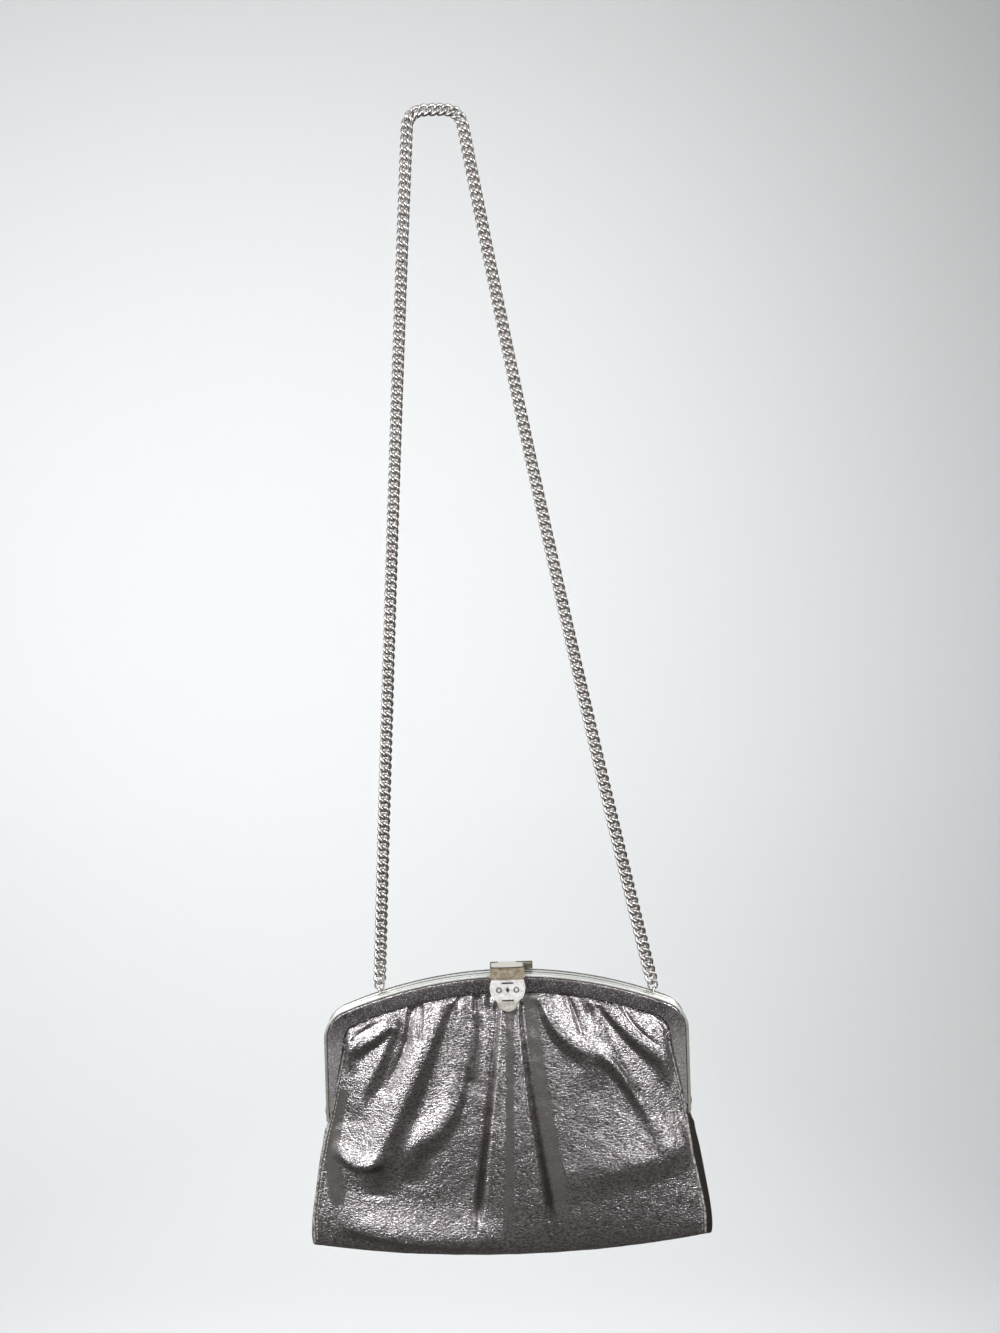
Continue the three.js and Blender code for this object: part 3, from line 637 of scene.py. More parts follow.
def cover_part(side):
    """Leather-covered face of a frame half, with a softly crowned section."""
    turn = full_turn(COVER_SIDES)
    across, rise = (
        np.sign(wave) * np.abs(wave)**(2 / COVER_SQUARENESS) for wave in (np.cos(turn), np.sin(turn))
    )
    outer = frame_line(RAIL_THICKNESS + GAP, COVER_DROP)[:, None]
    inner = cover_inner_line()[:, None]
    lines = lerp(outer, inner, (0.5 - 0.5 * across)[None, :, None])
    return frame_part(lines, COVER_FRONT - COVER_THICKNESS / 2 + rise * COVER_THICKNESS / 2, side)


def eye_place(hand, rise):
    lean = math.asin(EYE_X[hand] / ARCH_RADIUS)
    radius = ARCH_RADIUS + rise
    return np.array((radius * math.sin(lean), EYE_Y, -ARCH_RADIUS + radius * math.cos(lean))), lean


def eye_part(hand):
    centre, lean = eye_place(hand, EYE_RISE)
    return torus(centre, (math.cos(lean), 0, -math.sin(lean)), EYE_RADIUS, EYE_WIRE, sides=28)


def rivet_part(hand):
    rim = [(RIVET_RADIUS - RIVET_CHAMFER[0], 0), (RIVET_RADIUS, RIVET_CHAMFER[1])]
    dome = [(RIVET_RADIUS * math.cos(a), RIVET_HEIGHT * lerp(RIVET_RIM_SHARE, 1, math.sin(a)))
            for a in np.linspace(0, math.pi / 2 - RIVET_FLAT_ANGLE, RIVET_RINGS)]
    centre = (hand * (FRAME_HALF_WIDTH + GAP), 0, -HINGE_DROP + RIVET_ABOVE_END)
    return lathe(centre, (hand, 0, 0), rim + dome)


# Leather

def bend(start, middle, end):
    """Points of a smooth curve from start through middle to end."""
    start, middle, end = (np.array(point, float) for point in (start, middle, end))
    return bezier((start, 2 * middle - (start + end) / 2, end), FOLD_STEPS + 1)


def line_place(line, x, drop):
    """How far places of a panel are from a line, how far along it and on which hand of it."""
    nearest = np.full(x.shape, np.inf)
    along = np.zeros(x.shape)
    hand = np.zeros(x.shape)
    for i in range(FOLD_STEPS):
        run = line[i + 1, :2] - line[i, :2]
        dx, dd = x - line[i, 0], drop - line[i, 1]
        share = np.clip((dx * run[0] + dd * run[1]) / (run @ run), 0, 1)
        off_x, off_d = dx - share * run[0], dd - share * run[1]
        distance = np.hypot(off_x, off_d)
        closer = distance < nearest
        nearest = np.where(closer, distance, nearest)
        along = np.where(closer, (i + share) / FOLD_STEPS, along)
        hand = np.where(closer, np.sign(run[0] * off_d - run[1] * off_x), hand)
    return nearest, along, hand


def smooth_band_shade(row, x, drop):
    """How far the band on the right of a line drawn downwards is smoothed by wear and painted darker as
    painted shade.
    """
    start, middle, end, widths = row
    nearest, along, hand = line_place(bend(start, middle, end), x, drop)
    across = nearest / lerp(*widths, along)
    return window(along, *BAND_ALONG) * window(across, *BAND_ACROSS) * (hand < 0)


def fold_height(fold, x, drop):
    """Height of one fold at places of the panel, and how far it stretches the leather smooth and darkens it
    with painted shade, on its steep side and in its valley.
    """
    start, middle, end, widths, falls = fold
    line = bend(start, middle, end)
    nearest, along, hand = line_place(line, x, drop)
    height = np.interp(along * FOLD_STEPS, np.arange(FOLD_STEPS + 1), line[:, 2])
    height = np.where(height < 0, height * (1 - smoothstep(along, CREASE_FADE, 1)), height)
    profile = np.exp(-(nearest / lerp(*widths, along))**2)
    fall = lerp(*falls, along)
    fall_width = np.maximum(np.abs(fall), GAP)
    steep = window(along, *FALL_ALONG) * (hand * fall < 0)
    down = np.clip(nearest / fall_width, 0, 1)
    slope = 1 - lerp(down, smoothstep(down, 0, 1), FALL_ROUNDNESS)
    band = window(down, *STRETCH_AND_SHADE_DOWN)
    # Painted shade: the steep side is smoothed and painted darker, and a valley is painted darker by its
    # depth.
    stretch_and_shade = FALL_STRETCH_AND_SHADE * steep * band * np.minimum(np.abs(height) / fall_width / STEEP_FALL, 1)
    painted_hollow_shade = np.maximum(-height, 0) * profile / DEEP_FOLD
    return height * lerp(profile, slope, steep), stretch_and_shade + painted_hollow_shade


def gathers(seed):
    """Short pleats that run down from under the frame, fanned out towards the sides."""
    random = np.random.default_rng(seed)
    fan_share, length_share, height_share = GATHER_MIDDLE
    rows = []
    for i in range(GATHER_COUNT):
        x = lerp(-GATHER_REACH, GATHER_REACH, (i + random.uniform(*GATHER_PLACE)) / GATHER_COUNT)
        if abs(x - PLEAT_X) < PLEAT_CLEAR:
            continue
        top = -float(arch_z(x, ARCH_RADIUS - RAIL_THICKNESS - COVER_WIDTH)) - GATHER_TUCK
        length = random.uniform(*GATHER_LENGTH)
        fan = x / GATHER_REACH * random.uniform(*GATHER_FAN) * length
        width = random.uniform(*GATHER_WIDTH)
        height = random.uniform(*GATHER_HEIGHT) * (1 if i % 2 else -1)
        middle = (x + fan_share * fan, top + length_share * length, height_share * height)
        end = (x + fan, top + length, 0)
        rows.append(((x, top, height), middle, end, (width, GATHER_SPREAD * width), (0, 0)))
    return tuple(rows)


def relief(folds, x, drop):
    """Sum of all folds, and how far the leather is stretched by them and darkened with painted shade."""
    total, stretch_and_shade = np.zeros(x.shape), np.zeros(x.shape)
    for fold in folds:
        height, smooth = fold_height(fold, x, drop)
        total += height
        stretch_and_shade += smooth
    return total, stretch_and_shade


def panel_points(side, across, down_row, folds=()):
    """Outer face of a panel: across from -1 to 1, down_row from 0 at the top edge to 1 at the seam."""
    section = read_table(SECTION_COLUMNS, SECTIONS, down_row)
    down = section["down"]
    top_radius = ARCH_RADIUS - RAIL_THICKNESS - GAP - COVER_WIDTH + PANEL_TUCK
    top = arch_z(across * PANEL_TOP_HALF_WIDTH, top_radius)
    bottom_x = across * PANEL_BOTTOM_HALF_WIDTH
    bottom = -BOTTOM_DROP + BOTTOM_RADIUS - np.sqrt(BOTTOM_RADIUS**2 - bottom_x**2)
    z = lerp(top, bottom, down)
    flare = ARM_FLARE * window(-z, *FLARE_DROPS) * smoothstep(np.abs(across), FLAT_EDGE, 1)
    x = across * section["half_width"] + np.sign(across) * flare
    bulge = 1 - np.minimum(np.abs(across) / FLAT_EDGE, 1)**BULGE_POWER
    depth = lerp(section["edge_depth"], section["depth"], bulge)
    fade = window(down, *FOLD_ROWS)
    fade = fade * smoothstep(FLAT_EDGE - np.abs(across), 0, FOLD_SIDE_FADE)
    total, stretch_and_shade = relief(folds, x, -z)
    points = coordinates(x, side * (depth + total * fade), z)
    return points, np.clip(stretch_and_shade * fade, 0, 1)


def even_rows(count):
    """Rows of the section table that lie evenly down the middle of a panel."""
    fine = np.linspace(0, 1, ROW_STEPS + 1)
    middle, _ = panel_points(1, np.zeros_like(fine), fine)
    length = run_length(middle)
    return np.interp(np.linspace(0, length[-1], count + 1), length, fine)


def inner_face(outer, side):
    """One leather thickness in from the outer face."""
    down, right = np.gradient(outer, axis=(0, 1))
    inner = outer + unit(np.cross(right, down) * -side) * LEATHER
    inner[..., 1] = side * np.maximum(side * inner[..., 1], SEAM_DEPTH)
    return inner


def crumple(points, size, seed):
    """Smooth noise from -1 to 1 at each point."""
    shift = Vector([seed * share for share in NOISE_SHIFT])
    values = [noise.noise(Vector(point) / size + shift) for point in points.reshape(-1, 3)]
    return np.array(values).reshape(points.shape[:-1])


def corner_crumple(points, seed):
    """Sharp small creases where the frame's corners pinch the leather."""
    reach = np.hypot(np.abs(points[..., 0]) - PINCH_X, points[..., 2] + PINCH_DROP)
    near = np.exp(-(reach / PINCH_REACH)**2)
    return PINCH_HEIGHT * near * (1 - 2 * np.abs(crumple(points, PINCH_SIZE, seed)))


def painted_margin_shade(points):
    """How far the margin outside the right seam, below the frame's hinge, is smoothed and painted darker as
    painted shade.
    """
    seam_x, seam_drop = np.array(SEAM_PATHS[1]).T
    past = points[..., 0] - np.interp(-points[..., 2], seam_drop, seam_x)
    return smoothstep(past, *MARGIN_BEGINS) * smoothstep(-points[..., 2], *MARGIN_DROPS)


def panel_part(side, grid, folds, bands, seed):
    """Wall of a panel, and at each of its points how far the leather is stretched and smoothed by wear, with
    the painted shade that both carry.
    """
    columns, rows = grid
    across, down_row = np.meshgrid(np.linspace(-1, 1, columns + 1), even_rows(rows))
    outer, stretch_and_shade = panel_points(side, across, down_row, folds)
    # Painted shade on the margin past the right seam.
    stretch_and_shade = np.maximum(stretch_and_shade, painted_margin_shade(outer))
    worn = np.zeros(stretch_and_shade.shape)
    # Smooth bands, with painted shade on them.
    for row in bands:
        worn = np.maximum(worn, smooth_band_shade(row, outer[..., 0], -outer[..., 2]))
    soft = sum(height * crumple(outer, size, seed + i) for i, (height, size) in enumerate(SOFT_CRUMPLES))
    soft = soft * smoothstep(FLAT_EDGE - np.abs(across), 0, CRUMPLE_SIDE_FADE)
    sharp = corner_crumple(outer, seed + len(SOFT_CRUMPLES))
    outer[..., 1] += side * (soft + sharp) * window(down_row, *CRUMPLE_ROWS)
    thin = (slice(None, None, INNER_STEP), slice(None, None, INNER_STEP))
    points, faces = wall(outer, inner_face(outer, side)[thin])
    looks = {
        word: np.concatenate([values.ravel(), values[thin].ravel()])
        for word, values in (("stretch_and_shade", stretch_and_shade), ("worn", worn))
    }
    return (points, facing(faces, side)), looks


def gusset_part(hand):
    """A strip folded inwards along its middle, between the side edges of the two panels."""
    rows, columns = GUSSET_GRID
    share = np.linspace(0, 1, rows)
    edge, _ = panel_points(1, np.full_like(share, hand), lerp(GUSSET_START, GUSSET_END, share))
    half = edge[:, 1] - LEATHER - GAP
    across = np.linspace(-1, 1, columns)
    fold = read_table(("across", "inwards"), GUSSET_FOLD, (across + 1) / 2)["inwards"]
    inwards = fold[None] * lerp(GUSSET_TOP_FOLD, GUSSET_BOTTOM_FOLD, share)[:, None]

    def strip(setback):
        x = edge[:, 0, None] - hand * (GUSSET_SETBACK + setback + inwards)
        return coordinates(x, across[None] * half[:, None], edge[:, 2, None])

    points, faces = wall(strip(0), strip(GUSSET_WALL))
    return points, facing(faces, -hand)


# Seams along the sides of a panel

def seam_line(side, hand, count):
    """Points of the seam on a panel's outer face, from under the frame's corner to the bottom corner."""
    across, down_row = np.meshgrid(*(np.linspace(*span) for span in SEAM_SEARCH))
    surface = panel_points(side, across * hand, down_row)[0].reshape(-1, 3)
    path = even_line(SEAM_PATHS[hand], count) * (hand, -1)
    nearest = [np.argmin(np.hypot(surface[:, 0] - x, surface[:, 2] - z)) for x, z in path]
    depth = np.pad(surface[nearest, 1], SEAM_SMOOTHING // 2, mode="edge")
    depth = np.convolve(depth, np.ones(SEAM_SMOOTHING) / SEAM_SMOOTHING, mode="valid")
    return coordinates(path[:, 0], depth + side * SEAM_STAND, path[:, 1])


def piping_part(side, hand):
    return tube(seam_line(side, hand, PIPING_POINTS), PIPING_RADIUS, PIPING_SIDES)


def stitches_part(side, hand):
    """A row of short stitches just inside the piping, their ends sunk into the leather."""
    line = seam_line(side, hand, STITCHED_POINTS) - (hand * STITCH_INSET, 0, 0)
    sunk = np.zeros((STITCH_LENGTH, 3))
    sunk[:, 1] = side * STITCH_SINK * np.linspace(-1, 1, STITCH_LENGTH)**2
    starts = range(0, STITCHED_POINTS - STITCH_POINTS + 1, STITCH_POINTS)
    return join_parts([tube(line[i:i + STITCH_LENGTH] - sunk, STITCH_RADIUS, STITCH_SIDES) for i in starts])


# Clasp

def barrel(left, right, radius, chamfer=0.25):
    """A round bar with chamfered ends along the clasp's hinge line."""
    end = ((radius - chamfer, 0), (radius - chamfer / 4, chamfer / 2), (radius, chamfer))
    profile = [(r, left + d) for r, d in end] + [(r, right - d) for r, d in reversed(end)]
    return lathe((0, HINGE_Y, HINGE_Z), (1, 0, 0), profile)


def plate_part(left, right, front, back, bottom, top, rounding=0.25):
    """A small block with rounded upright edges."""
    corners = []
    for sx, sy, start in ((1, 1, 0), (-1, 1, 90), (-1, -1, 180), (1, -1, 270)):
        cx = (right if sx > 0 else left) - sx * rounding
        cy = (back if sy > 0 else front) - sy * rounding
        for angle in (start, start + 45, start + 90):
            turn = math.radians(angle)
            corners.append((cx + rounding * math.cos(turn), cy + rounding * math.sin(turn)))
    rings = [[(x, y, z) for x, y in corners] for z in (bottom, top)]
    return np.array(rings), tube_faces(2, len(corners))


def at_clasp(parts):
    """Parts of the clasp as one, moved to its place on the frame."""
    points, faces = join_parts(parts)
    return points + (CLASP_RIGHT, 0, 0), faces


def clasp_base_parts():
    """The hinge's pin, and a barrel on its foot at either end of it."""
    inner = KNUCKLE_HALF + GAP
    front, back = HINGE_Y - BASE_DEPTH / 2, HINGE_Y + BASE_DEPTH / 2
    parts = [barrel(-inner - PIN_OVERLAP, inner + PIN_OVERLAP, PIN_RADIUS)]
    for left, right in ((-CLASP_HALF_WIDTH, -inner), (inner, BASE_END)):
        parts.append(barrel(left, right, BARREL_RADIUS))
        parts.append(plate_part(left, right, front, back, GAP, HINGE_Z - BARREL_RADIUS / 2))
    return parts


def flap_edge():
    """Half width of the flap against height, from the top down."""
    neck = [(CLASP_HALF_WIDTH, -FLAP_TOP), (CLASP_HALF_WIDTH, NECK_DROP - NECK_TALL), SHIELD_CURVE[0]]
    shield = bezier(SHIELD_CURVE, SHIELD_POINTS)
    tongue = bezier(TONGUE_CURVE, TONGUE_POINTS)
    return np.concatenate([neck, shield[1:], tongue[1:]]) * (1, -1)


def flap_plate():
    """The bent plate of the flap: over the frame from behind, round the bend and down the front."""
    back = HINGE_Y - BARREL_RADIUS - GAP
    bend_y, bend_z = -FLAP_FRONT + FLAP_BEND, FLAP_TOP - FLAP_BEND
    turn = np.linspace(0, math.pi / 2, FLAP_BEND_POINTS)
    edge = flap_edge()
    down = edge[edge[:, 1] < bend_z - FLAP_BEND_CLEAR]
    line = np.concatenate([
        [(back, FLAP_TOP), (back / 2, FLAP_TOP)],
        coordinates(bend_y - FLAP_BEND * np.sin(turn), bend_z + FLAP_BEND * np.cos(turn)),
        coordinates(-FLAP_FRONT, down[:, 1]),
    ])
    half = np.interp(-line[:, 1], -edge[:, 1], edge[:, 0])
    half[-len(down):] = down[:, 0]
    run = unit(np.gradient(line, axis=0))
    inwards = coordinates(-run[:, 1], run[:, 0])
    across = np.sin(np.linspace(-math.pi / 2, math.pi / 2, FLAP_COLUMNS))
    soften = FLAP_CROWN * across**2 + FLAP_EDGE_FALL * np.abs(across)**FLAP_EDGE_POWER

    def face(depth, lift):
        place = line[:, None] + inwards[:, None] * (depth + lift * soften)[None, :, None]
        return coordinates(half[:, None] * across[None], place[..., 0], place[..., 1])

    return wall(face(0, 1), face(FLAP_THICKNESS, -1))


def flap_parts():
    """The bent plate, and its knuckle on the hinge."""
    ends = (-KNUCKLE_HALF, KNUCKLE_HALF)
    leaf = plate_part(*ends, KNUCKLE_FRONT, HINGE_Y, FLAP_TOP - FLAP_THICKNESS, FLAP_TOP)
    return [flap_plate(), barrel(*ends, BARREL_RADIUS), leaf]


def lozenge_part():
    rings = []
    for share, y in ((1, -FLAP_FRONT + LOZENGE_SINK), (LOZENGE_TIP, -FLAP_FRONT - MARK_STAND)):
        half, tall = share * LOZENGE_HALF_WIDTH, share * LOZENGE_HALF_HEIGHT
        outline = ((half, 0), (0, tall), (-half, 0), (0, -tall))
        rings.append([(x, y, z - ORNAMENT_DROP) for x, z in outline])
    return np.array(rings), tube_faces(2, len(outline))


def ornament_parts():
    """A ring on each side of a lozenge, between two thin bars."""
    front = -FLAP_FRONT
    parts = [lozenge_part()]
    for x in (-MARK_RING_X, MARK_RING_X):
        centre = (x, front, -ORNAMENT_DROP)
        parts.append(torus(centre, (0, 1, 0), MARK_RING_RADIUS, MARK_STAND, sides=28, wire_sides=8))
    for drop in MARK_BAR_DROPS:
        parts.append(plate_part(
            -MARK_BAR_HALF, MARK_BAR_HALF, front - MARK_STAND, front + MARK_BAR_SINK,
            -drop - MARK_STAND, -drop + MARK_STAND, MARK_STAND / 2,
        ))
    return parts


# Chain

def hang_corner(hand):
    return np.array((-BAG_ORIGIN[0] + hand * HANG_HALF_WIDTH, EYE_Y, BAG_DROP + CHAIN_WIDTH / 2))


def ring_centre(hand):
    seat, _ = eye_place(hand, EYE_RISE + EYE_RADIUS - EYE_WIRE - GAP - RING_WIRE)
    pull = unit(hang_corner(hand) - seat)
    return seat + pull * RING_RADIUS, pull


def ring_part(hand):
    centre, _ = ring_centre(hand)
    return torus(centre, (0, 1, 0), RING_RADIUS, RING_WIRE)


def strand_line(hand):
    """From where the last link bears on its ring, up and round the bend to the middle of the top."""
    centre, pull = ring_centre(hand)
    start = centre + pull * (RING_RADIUS - RING_WIRE)
    corner = hang_corner(hand)
    bend_start = corner - pull * HANG_BEND
    bend_end = corner - (hand * HANG_BEND, 0, 0)
    middle = (-BAG_ORIGIN[0], *corner[1:])
    sagged = lerp(start, bend_start, 0.5) - (2 * SAG[hand], 0, 0)
    strand = bezier((start, sagged, bend_start), STRAND_POINTS)
    round_bend = bezier((bend_start, corner, bend_end), HANG_BEND_POINTS)
    return np.concatenate([strand, round_bend[1:], [middle]])


def link_shape(half_length):
    """One curb link along +x: an oval of round wire, twisted along its length."""
    turn = full_turn(LINK_SIDES)
    out = LINK_HALF_WIDTH * np.sin(turn)
    twist = LINK_TWIST * np.cos(turn)
    centre = coordinates(half_length * np.cos(turn), out * np.cos(twist), out * np.sin(twist))
    along = unit(np.roll(centre, -1, 0) - np.roll(centre, 1, 0))
    outwards = unit(centre - along * np.sum(centre * along, 1, keepdims=True))
    sideways = np.cross(along, outwards)
    roll = full_turn(LINK_WIRE_SIDES)[None, :, None]
    wire = np.cos(roll) * outwards[:, None] + np.sin(roll) * sideways[:, None]
    return (centre[:, None] + LINK_WIRE * wire).reshape(-1, 3)


def chain_part():
    """All links of the chain, from the left ring over the top to the right ring."""
    line = np.concatenate([strand_line(-1), strand_line(1)[::-1][1:]])
    count = round(run_length(line)[-1] / LINK_PITCH)
    nodes = even_line(line, count + 1)
    steps = np.diff(nodes, axis=0)
    pitch = np.linalg.norm(steps, axis=1).mean()
    along = unit(steps)
    centre = (nodes[1:] + nodes[:-1]) / 2
    back = np.broadcast_to((0.0, 1.0, 0.0), along.shape)
    basis = np.stack([along, np.cross(back, along), back], 1)
    points = link_shape(pitch / 2 + LINK_WIRE) @ basis + centre[:, None]
    link_faces = np.array(tube_faces(LINK_SIDES, LINK_WIRE_SIDES, closed=True))
    starts = np.arange(count)[:, None, None] * points.shape[1]
    return points, (link_faces[None] + starts).reshape(-1, 4).tolist()


# Material helpers

def feed(tree, made, inputs):
    """Link or set the inputs of a node."""
    for socket, value in inputs.items():
        if isinstance(value, bpy.types.NodeSocket):
            tree.links.new(value, made.inputs[socket])
        else:
            made.inputs[socket].default_value = value


def node(tree, kind, inputs=None, **settings):
    made = tree.nodes.new(kind)
    for name, value in settings.items():
        setattr(made, name, value)
    feed(tree, made, inputs or {})
    return made


def painted(name, look, *values):
    """A material whose main shader is fed with what a look says for its sockets."""
    material = bpy.data.materials.new(name)
    material.use_nodes = True
    tree = material.node_tree
    feed(tree, tree.nodes["Principled BSDF"], look(tree, *values))
    return material


def ramp(tree, factor, stops):
    """Colours or greys by a factor; each stop is a place and a colour."""
    made = node(tree, "ShaderNodeValToRGB", {"Fac": factor})
    elements = made.color_ramp.elements
    while len(elements) < len(stops):
        elements.new(1)
    for element, (place, colour) in zip(elements, stops):
        element.position = place
        element.color = (*colour, 1) if isinstance(colour, tuple) else (colour, colour, colour, 1)
    return made.outputs["Color"]


def mixed(tree, share, first, second):
    """One colour blended into another."""
    inputs = {0: share, 6: first, 7: second}
    return node(tree, "ShaderNodeMix", inputs, data_type="RGBA").outputs[2]


def maths(tree, operation, *values):
    return node(tree, "ShaderNodeMath", dict(enumerate(values)), operation=operation).outputs["Value"]


def between(tree, value, start, end):
    """From 0 at the start of a span to 1 at its end."""
    inputs = {"Value": value, "From Min": start, "From Max": end}
    return node(tree, "ShaderNodeMapRange", inputs).outputs["Result"]


def object_place(tree):
    return node(tree, "ShaderNodeTexCoord").outputs["Object"]


def object_axes(tree):
    return node(tree, "ShaderNodeSeparateXYZ", {"Vector": object_place(tree)}).outputs


def noise_at(tree, scale, detail, roughness, distortion=0.0):
    """Noise over the object, with its own scale a metre along each axis."""
    inputs = {"Vector": object_place(tree), "Scale": scale}
    vector = node(tree, "ShaderNodeMapping", inputs).outputs["Vector"]
    return node(tree, "ShaderNodeTexNoise", {
        "Vector": vector, "Scale": 1.0, "Detail": detail, "Roughness": roughness, "Distortion": distortion,
    }).outputs["Fac"]


def bump(tree, height, strength, distance, **normal):
    inputs = {"Height": height, "Strength": strength, "Distance": distance, **normal}
    return node(tree, "ShaderNodeBump", inputs).outputs["Normal"]


def cloudy(tree, light, dull):
    clouds = noise_at(tree, (600, 600, 600), 4, 0.65)
    return ramp(tree, clouds, ((0.38, light), (0.62, dull)))


def row_y(bag_y):
    return float((BAG_ORIGIN[1] + bag_y) * MM)


def row_z(bag_z):
    return float((BAG_ORIGIN[2] + bag_z) * MM)


# Looks of the materials

def leather_look(tree):
    """Pewter-foiled soft leather: a fine crinkle across the bag with painted shade in its hollows, smoothed
    in the folds and darkened there with painted shade.
    """
    crinkle = noise_at(tree, (620, 620, 1300), 2, 0.6, 0.3)
    fine = noise_at(tree, (1500, 1500, 2600), 2, 0.5)
    patches = noise_at(tree, (45, 45, 45), 3, 0.6)
    stretch_and_shade, worn = (
        node(tree, "ShaderNodeAttribute", attribute_name=word).outputs["Fac"] for word in ("stretch_and_shade", "worn")
    )
    crest = ramp(tree, patches, ((0.3, (0.62, 0.59, 0.61)), (0.7, (0.74, 0.71, 0.73))))
    # Painted shade: the crinkle's hollows are painted a darker grey than its crests.
    painted_hollow_shade = (0.32, 0.29, 0.295, 1)
    foil_with_grain_shade = mixed(tree, ramp(tree, crinkle, ((0.4, 1.0), (0.58, 0.0))), crest, painted_hollow_shade)
    # Painted shade: steep fold sides, creases and the margin past the right seam are painted near-black
    # brown.
    painted_fold_shade = ramp(tree, stretch_and_shade, ((0.07, 0.0), (0.6, 0.42), (1.0, 0.92)))
    foil_with_fold_shade = mixed(tree, painted_fold_shade, foil_with_grain_shade, (0.16, 0.138, 0.128, 1))
    smooth = maths(tree, "MAXIMUM", stretch_and_shade, worn)
    crisp = ramp(tree, smooth, ((0.06, 0.9), (0.4, 0.3)))
    return {
        # Painted shade: the smooth bands are painted a darker olive grey.
        "Base Color": mixed(tree, worn, foil_with_fold_shade, (0.335, 0.318, 0.305, 1)),
        "Metallic": ramp(tree, worn, ((0, 0.94), (1, 0.76))),
        "Roughness": ramp(tree, fine, ((0.3, 0.25), (0.7, 0.34))),
        "Normal": bump(tree, fine, 0.2, 0.0002, Normal=bump(tree, crinkle, crisp, 0.0006)),
    }


def band_look(tree):
    """Smoother, darker leather of the frame faces, painted paler down the arms as painted light, with a fine
    speckle of painted glints.
    """
    grain = noise_at(tree, (1100, 1100, 1500), 2, 0.6)
    patches = noise_at(tree, (70, 70, 70), 3, 0.6)
    speckle = noise_at(tree, (1700, 1700, 1700), 1, 0.5)
    dark = ramp(tree, patches, ((0.35, (0.21, 0.185, 0.2)), (0.7, (0.33, 0.3, 0.315))))
    arm = between(tree, object_axes(tree)["Z"], row_z(-ARM_TOP_DROP), row_z(-COVER_CORNER_DROP))
    # Painted light: the band is painted paler down the arms.
    tone = mixed(tree, arm, dark, (0.47, 0.44, 0.45, 1))
    # Painted glints: near-white flecks in the colour.
    painted_glint = ramp(tree, speckle, ((0.54, 0.0), (0.66, 1.0)))
    return {
        "Base Color": mixed(tree, painted_glint, tone, (0.93, 0.9, 0.91, 1)),
        "Metallic": ramp(tree, arm, ((0, 0.9), (1, 0.65))),
        "Roughness": ramp(tree, patches, ((0.3, 0.28), (0.7, 0.38))),
        "Normal": bump(tree, grain, 0.5, 0.0004),
    }


def metal_look(tree, light, dull, low_roughness, high_roughness, edge=(1, 1, 1, 1)):
    """Plated metal with cloudy tarnish, fine rubbing and a tint towards its edges."""
    clouds = noise_at(tree, (160, 160, 160), 4, 0.65)
    rubbing = noise_at(tree, (500, 500, 2600), 2, 0.6)
    return {
        "Base Color": ramp(tree, clouds, ((0.35, light), (0.72, dull))),
        "Metallic": 1.0,
        "Roughness": ramp(tree, clouds, ((0.3, low_roughness), (0.75, high_roughness))),
        "Specular Tint": edge,
        "Normal": bump(tree, rubbing, 0.06, 0.0001),
    }


def rail_look(tree):
    """Silver plate with dark lines of painted shade, a bead on the back rail painted dark as shade, and
    olive tarnish with painted shade down the arms.
    """
    clouds = noise_at(tree, (160, 160, 160), 4, 0.65)
    rubbing = noise_at(tree, (1100, 1100, 1100), 2, 0.6)
    plate = ramp(tree, clouds, ((0.35, (0.84, 0.85, 0.83)), (0.72, (0.66, 0.66, 0.6))))
    olive = ramp(tree, clouds, ((0.35, (0.2, 0.18, 0.13)), (0.72, (0.11, 0.1, 0.07))))
    axes = object_axes(tree)
    arm = between(tree, axes["Z"], row_z(-ARM_TOP_DROP), row_z(-ARM_WEAR_AND_SHADE_DROP))
    across = maths(tree, "SUBTRACT", axes["Y"], row_y(0))
    reach = between(tree, maths(tree, "ABSOLUTE", across), 0, RAIL_REACH * MM)
    back_bead_shade = between(tree, across, *(depth * MM for depth in BACK_BEAD_DEPTHS))
    # Painted shade: dark lines in the closing gap and the groove, and a dark bead on the back rail.
    plate_with_gap_shade = mixed(tree, ramp(tree, reach, RAIL_LINES), plate, (0.06, 0.058, 0.05, 1))
    plate_with_bead_shade = mixed(tree, back_bead_shade, plate_with_gap_shade, (0.22, 0.21, 0.19, 1))
    # Olive tarnish with painted shade down the arms.
    worn = maths(tree, "MULTIPLY", arm, ramp(tree, reach, RAIL_WEAR_AND_SHADE))
    return {
        "Base Color": mixed(tree, worn, plate_with_bead_shade, olive),
        "Metallic": ramp(tree, reach, RAIL_METALLIC),
        "Roughness": ramp(tree, clouds, ((0.3, 0.2), (0.75, 0.36))),
        "Normal": bump(tree, rubbing, 0.06, 0.0001),
    }


def clasp_look(tree):
    """Satin shield, tan tarnish with painted shade over the bend above it, a thin dark line under a pale
    rim, and a tongue below painted duller as shade.
    """
    colour = cloudy(tree, (0.98, 0.965, 0.96), (0.74, 0.7, 0.675))
    # Painted shade: the tongue is painted duller than the shield, and the bend tan with tarnish and painted
    # shade.
    tongue = cloudy(tree, (0.7, 0.68, 0.63), (0.46, 0.44, 0.39))
    tan = cloudy(tree, (0.36, 0.3, 0.22), (0.16, 0.13, 0.09))
    thin_dark_line = (0.07, 0.062, 0.05, 1)
    rim = (0.6, 0.59, 0.53, 1)
    height = object_axes(tree)["Z"]
    for zone, tone in zip(CLASP_ZONES, (tongue, tan, thin_dark_line, rim)):
        colour = mixed(tree, between(tree, height, *(row_z(z) for z in zone)), colour, tone)
    grain = noise_at(tree, (900, 900, 900), 3, 0.6)
    return {
        "Base Color": colour,
        "Metallic": 0.06,
        "Roughness": ramp(tree, grain, ((0.3, 0.46), (0.7, 0.6))),
        "Normal": bump(tree, grain, 0.2, 0.0002),
    }


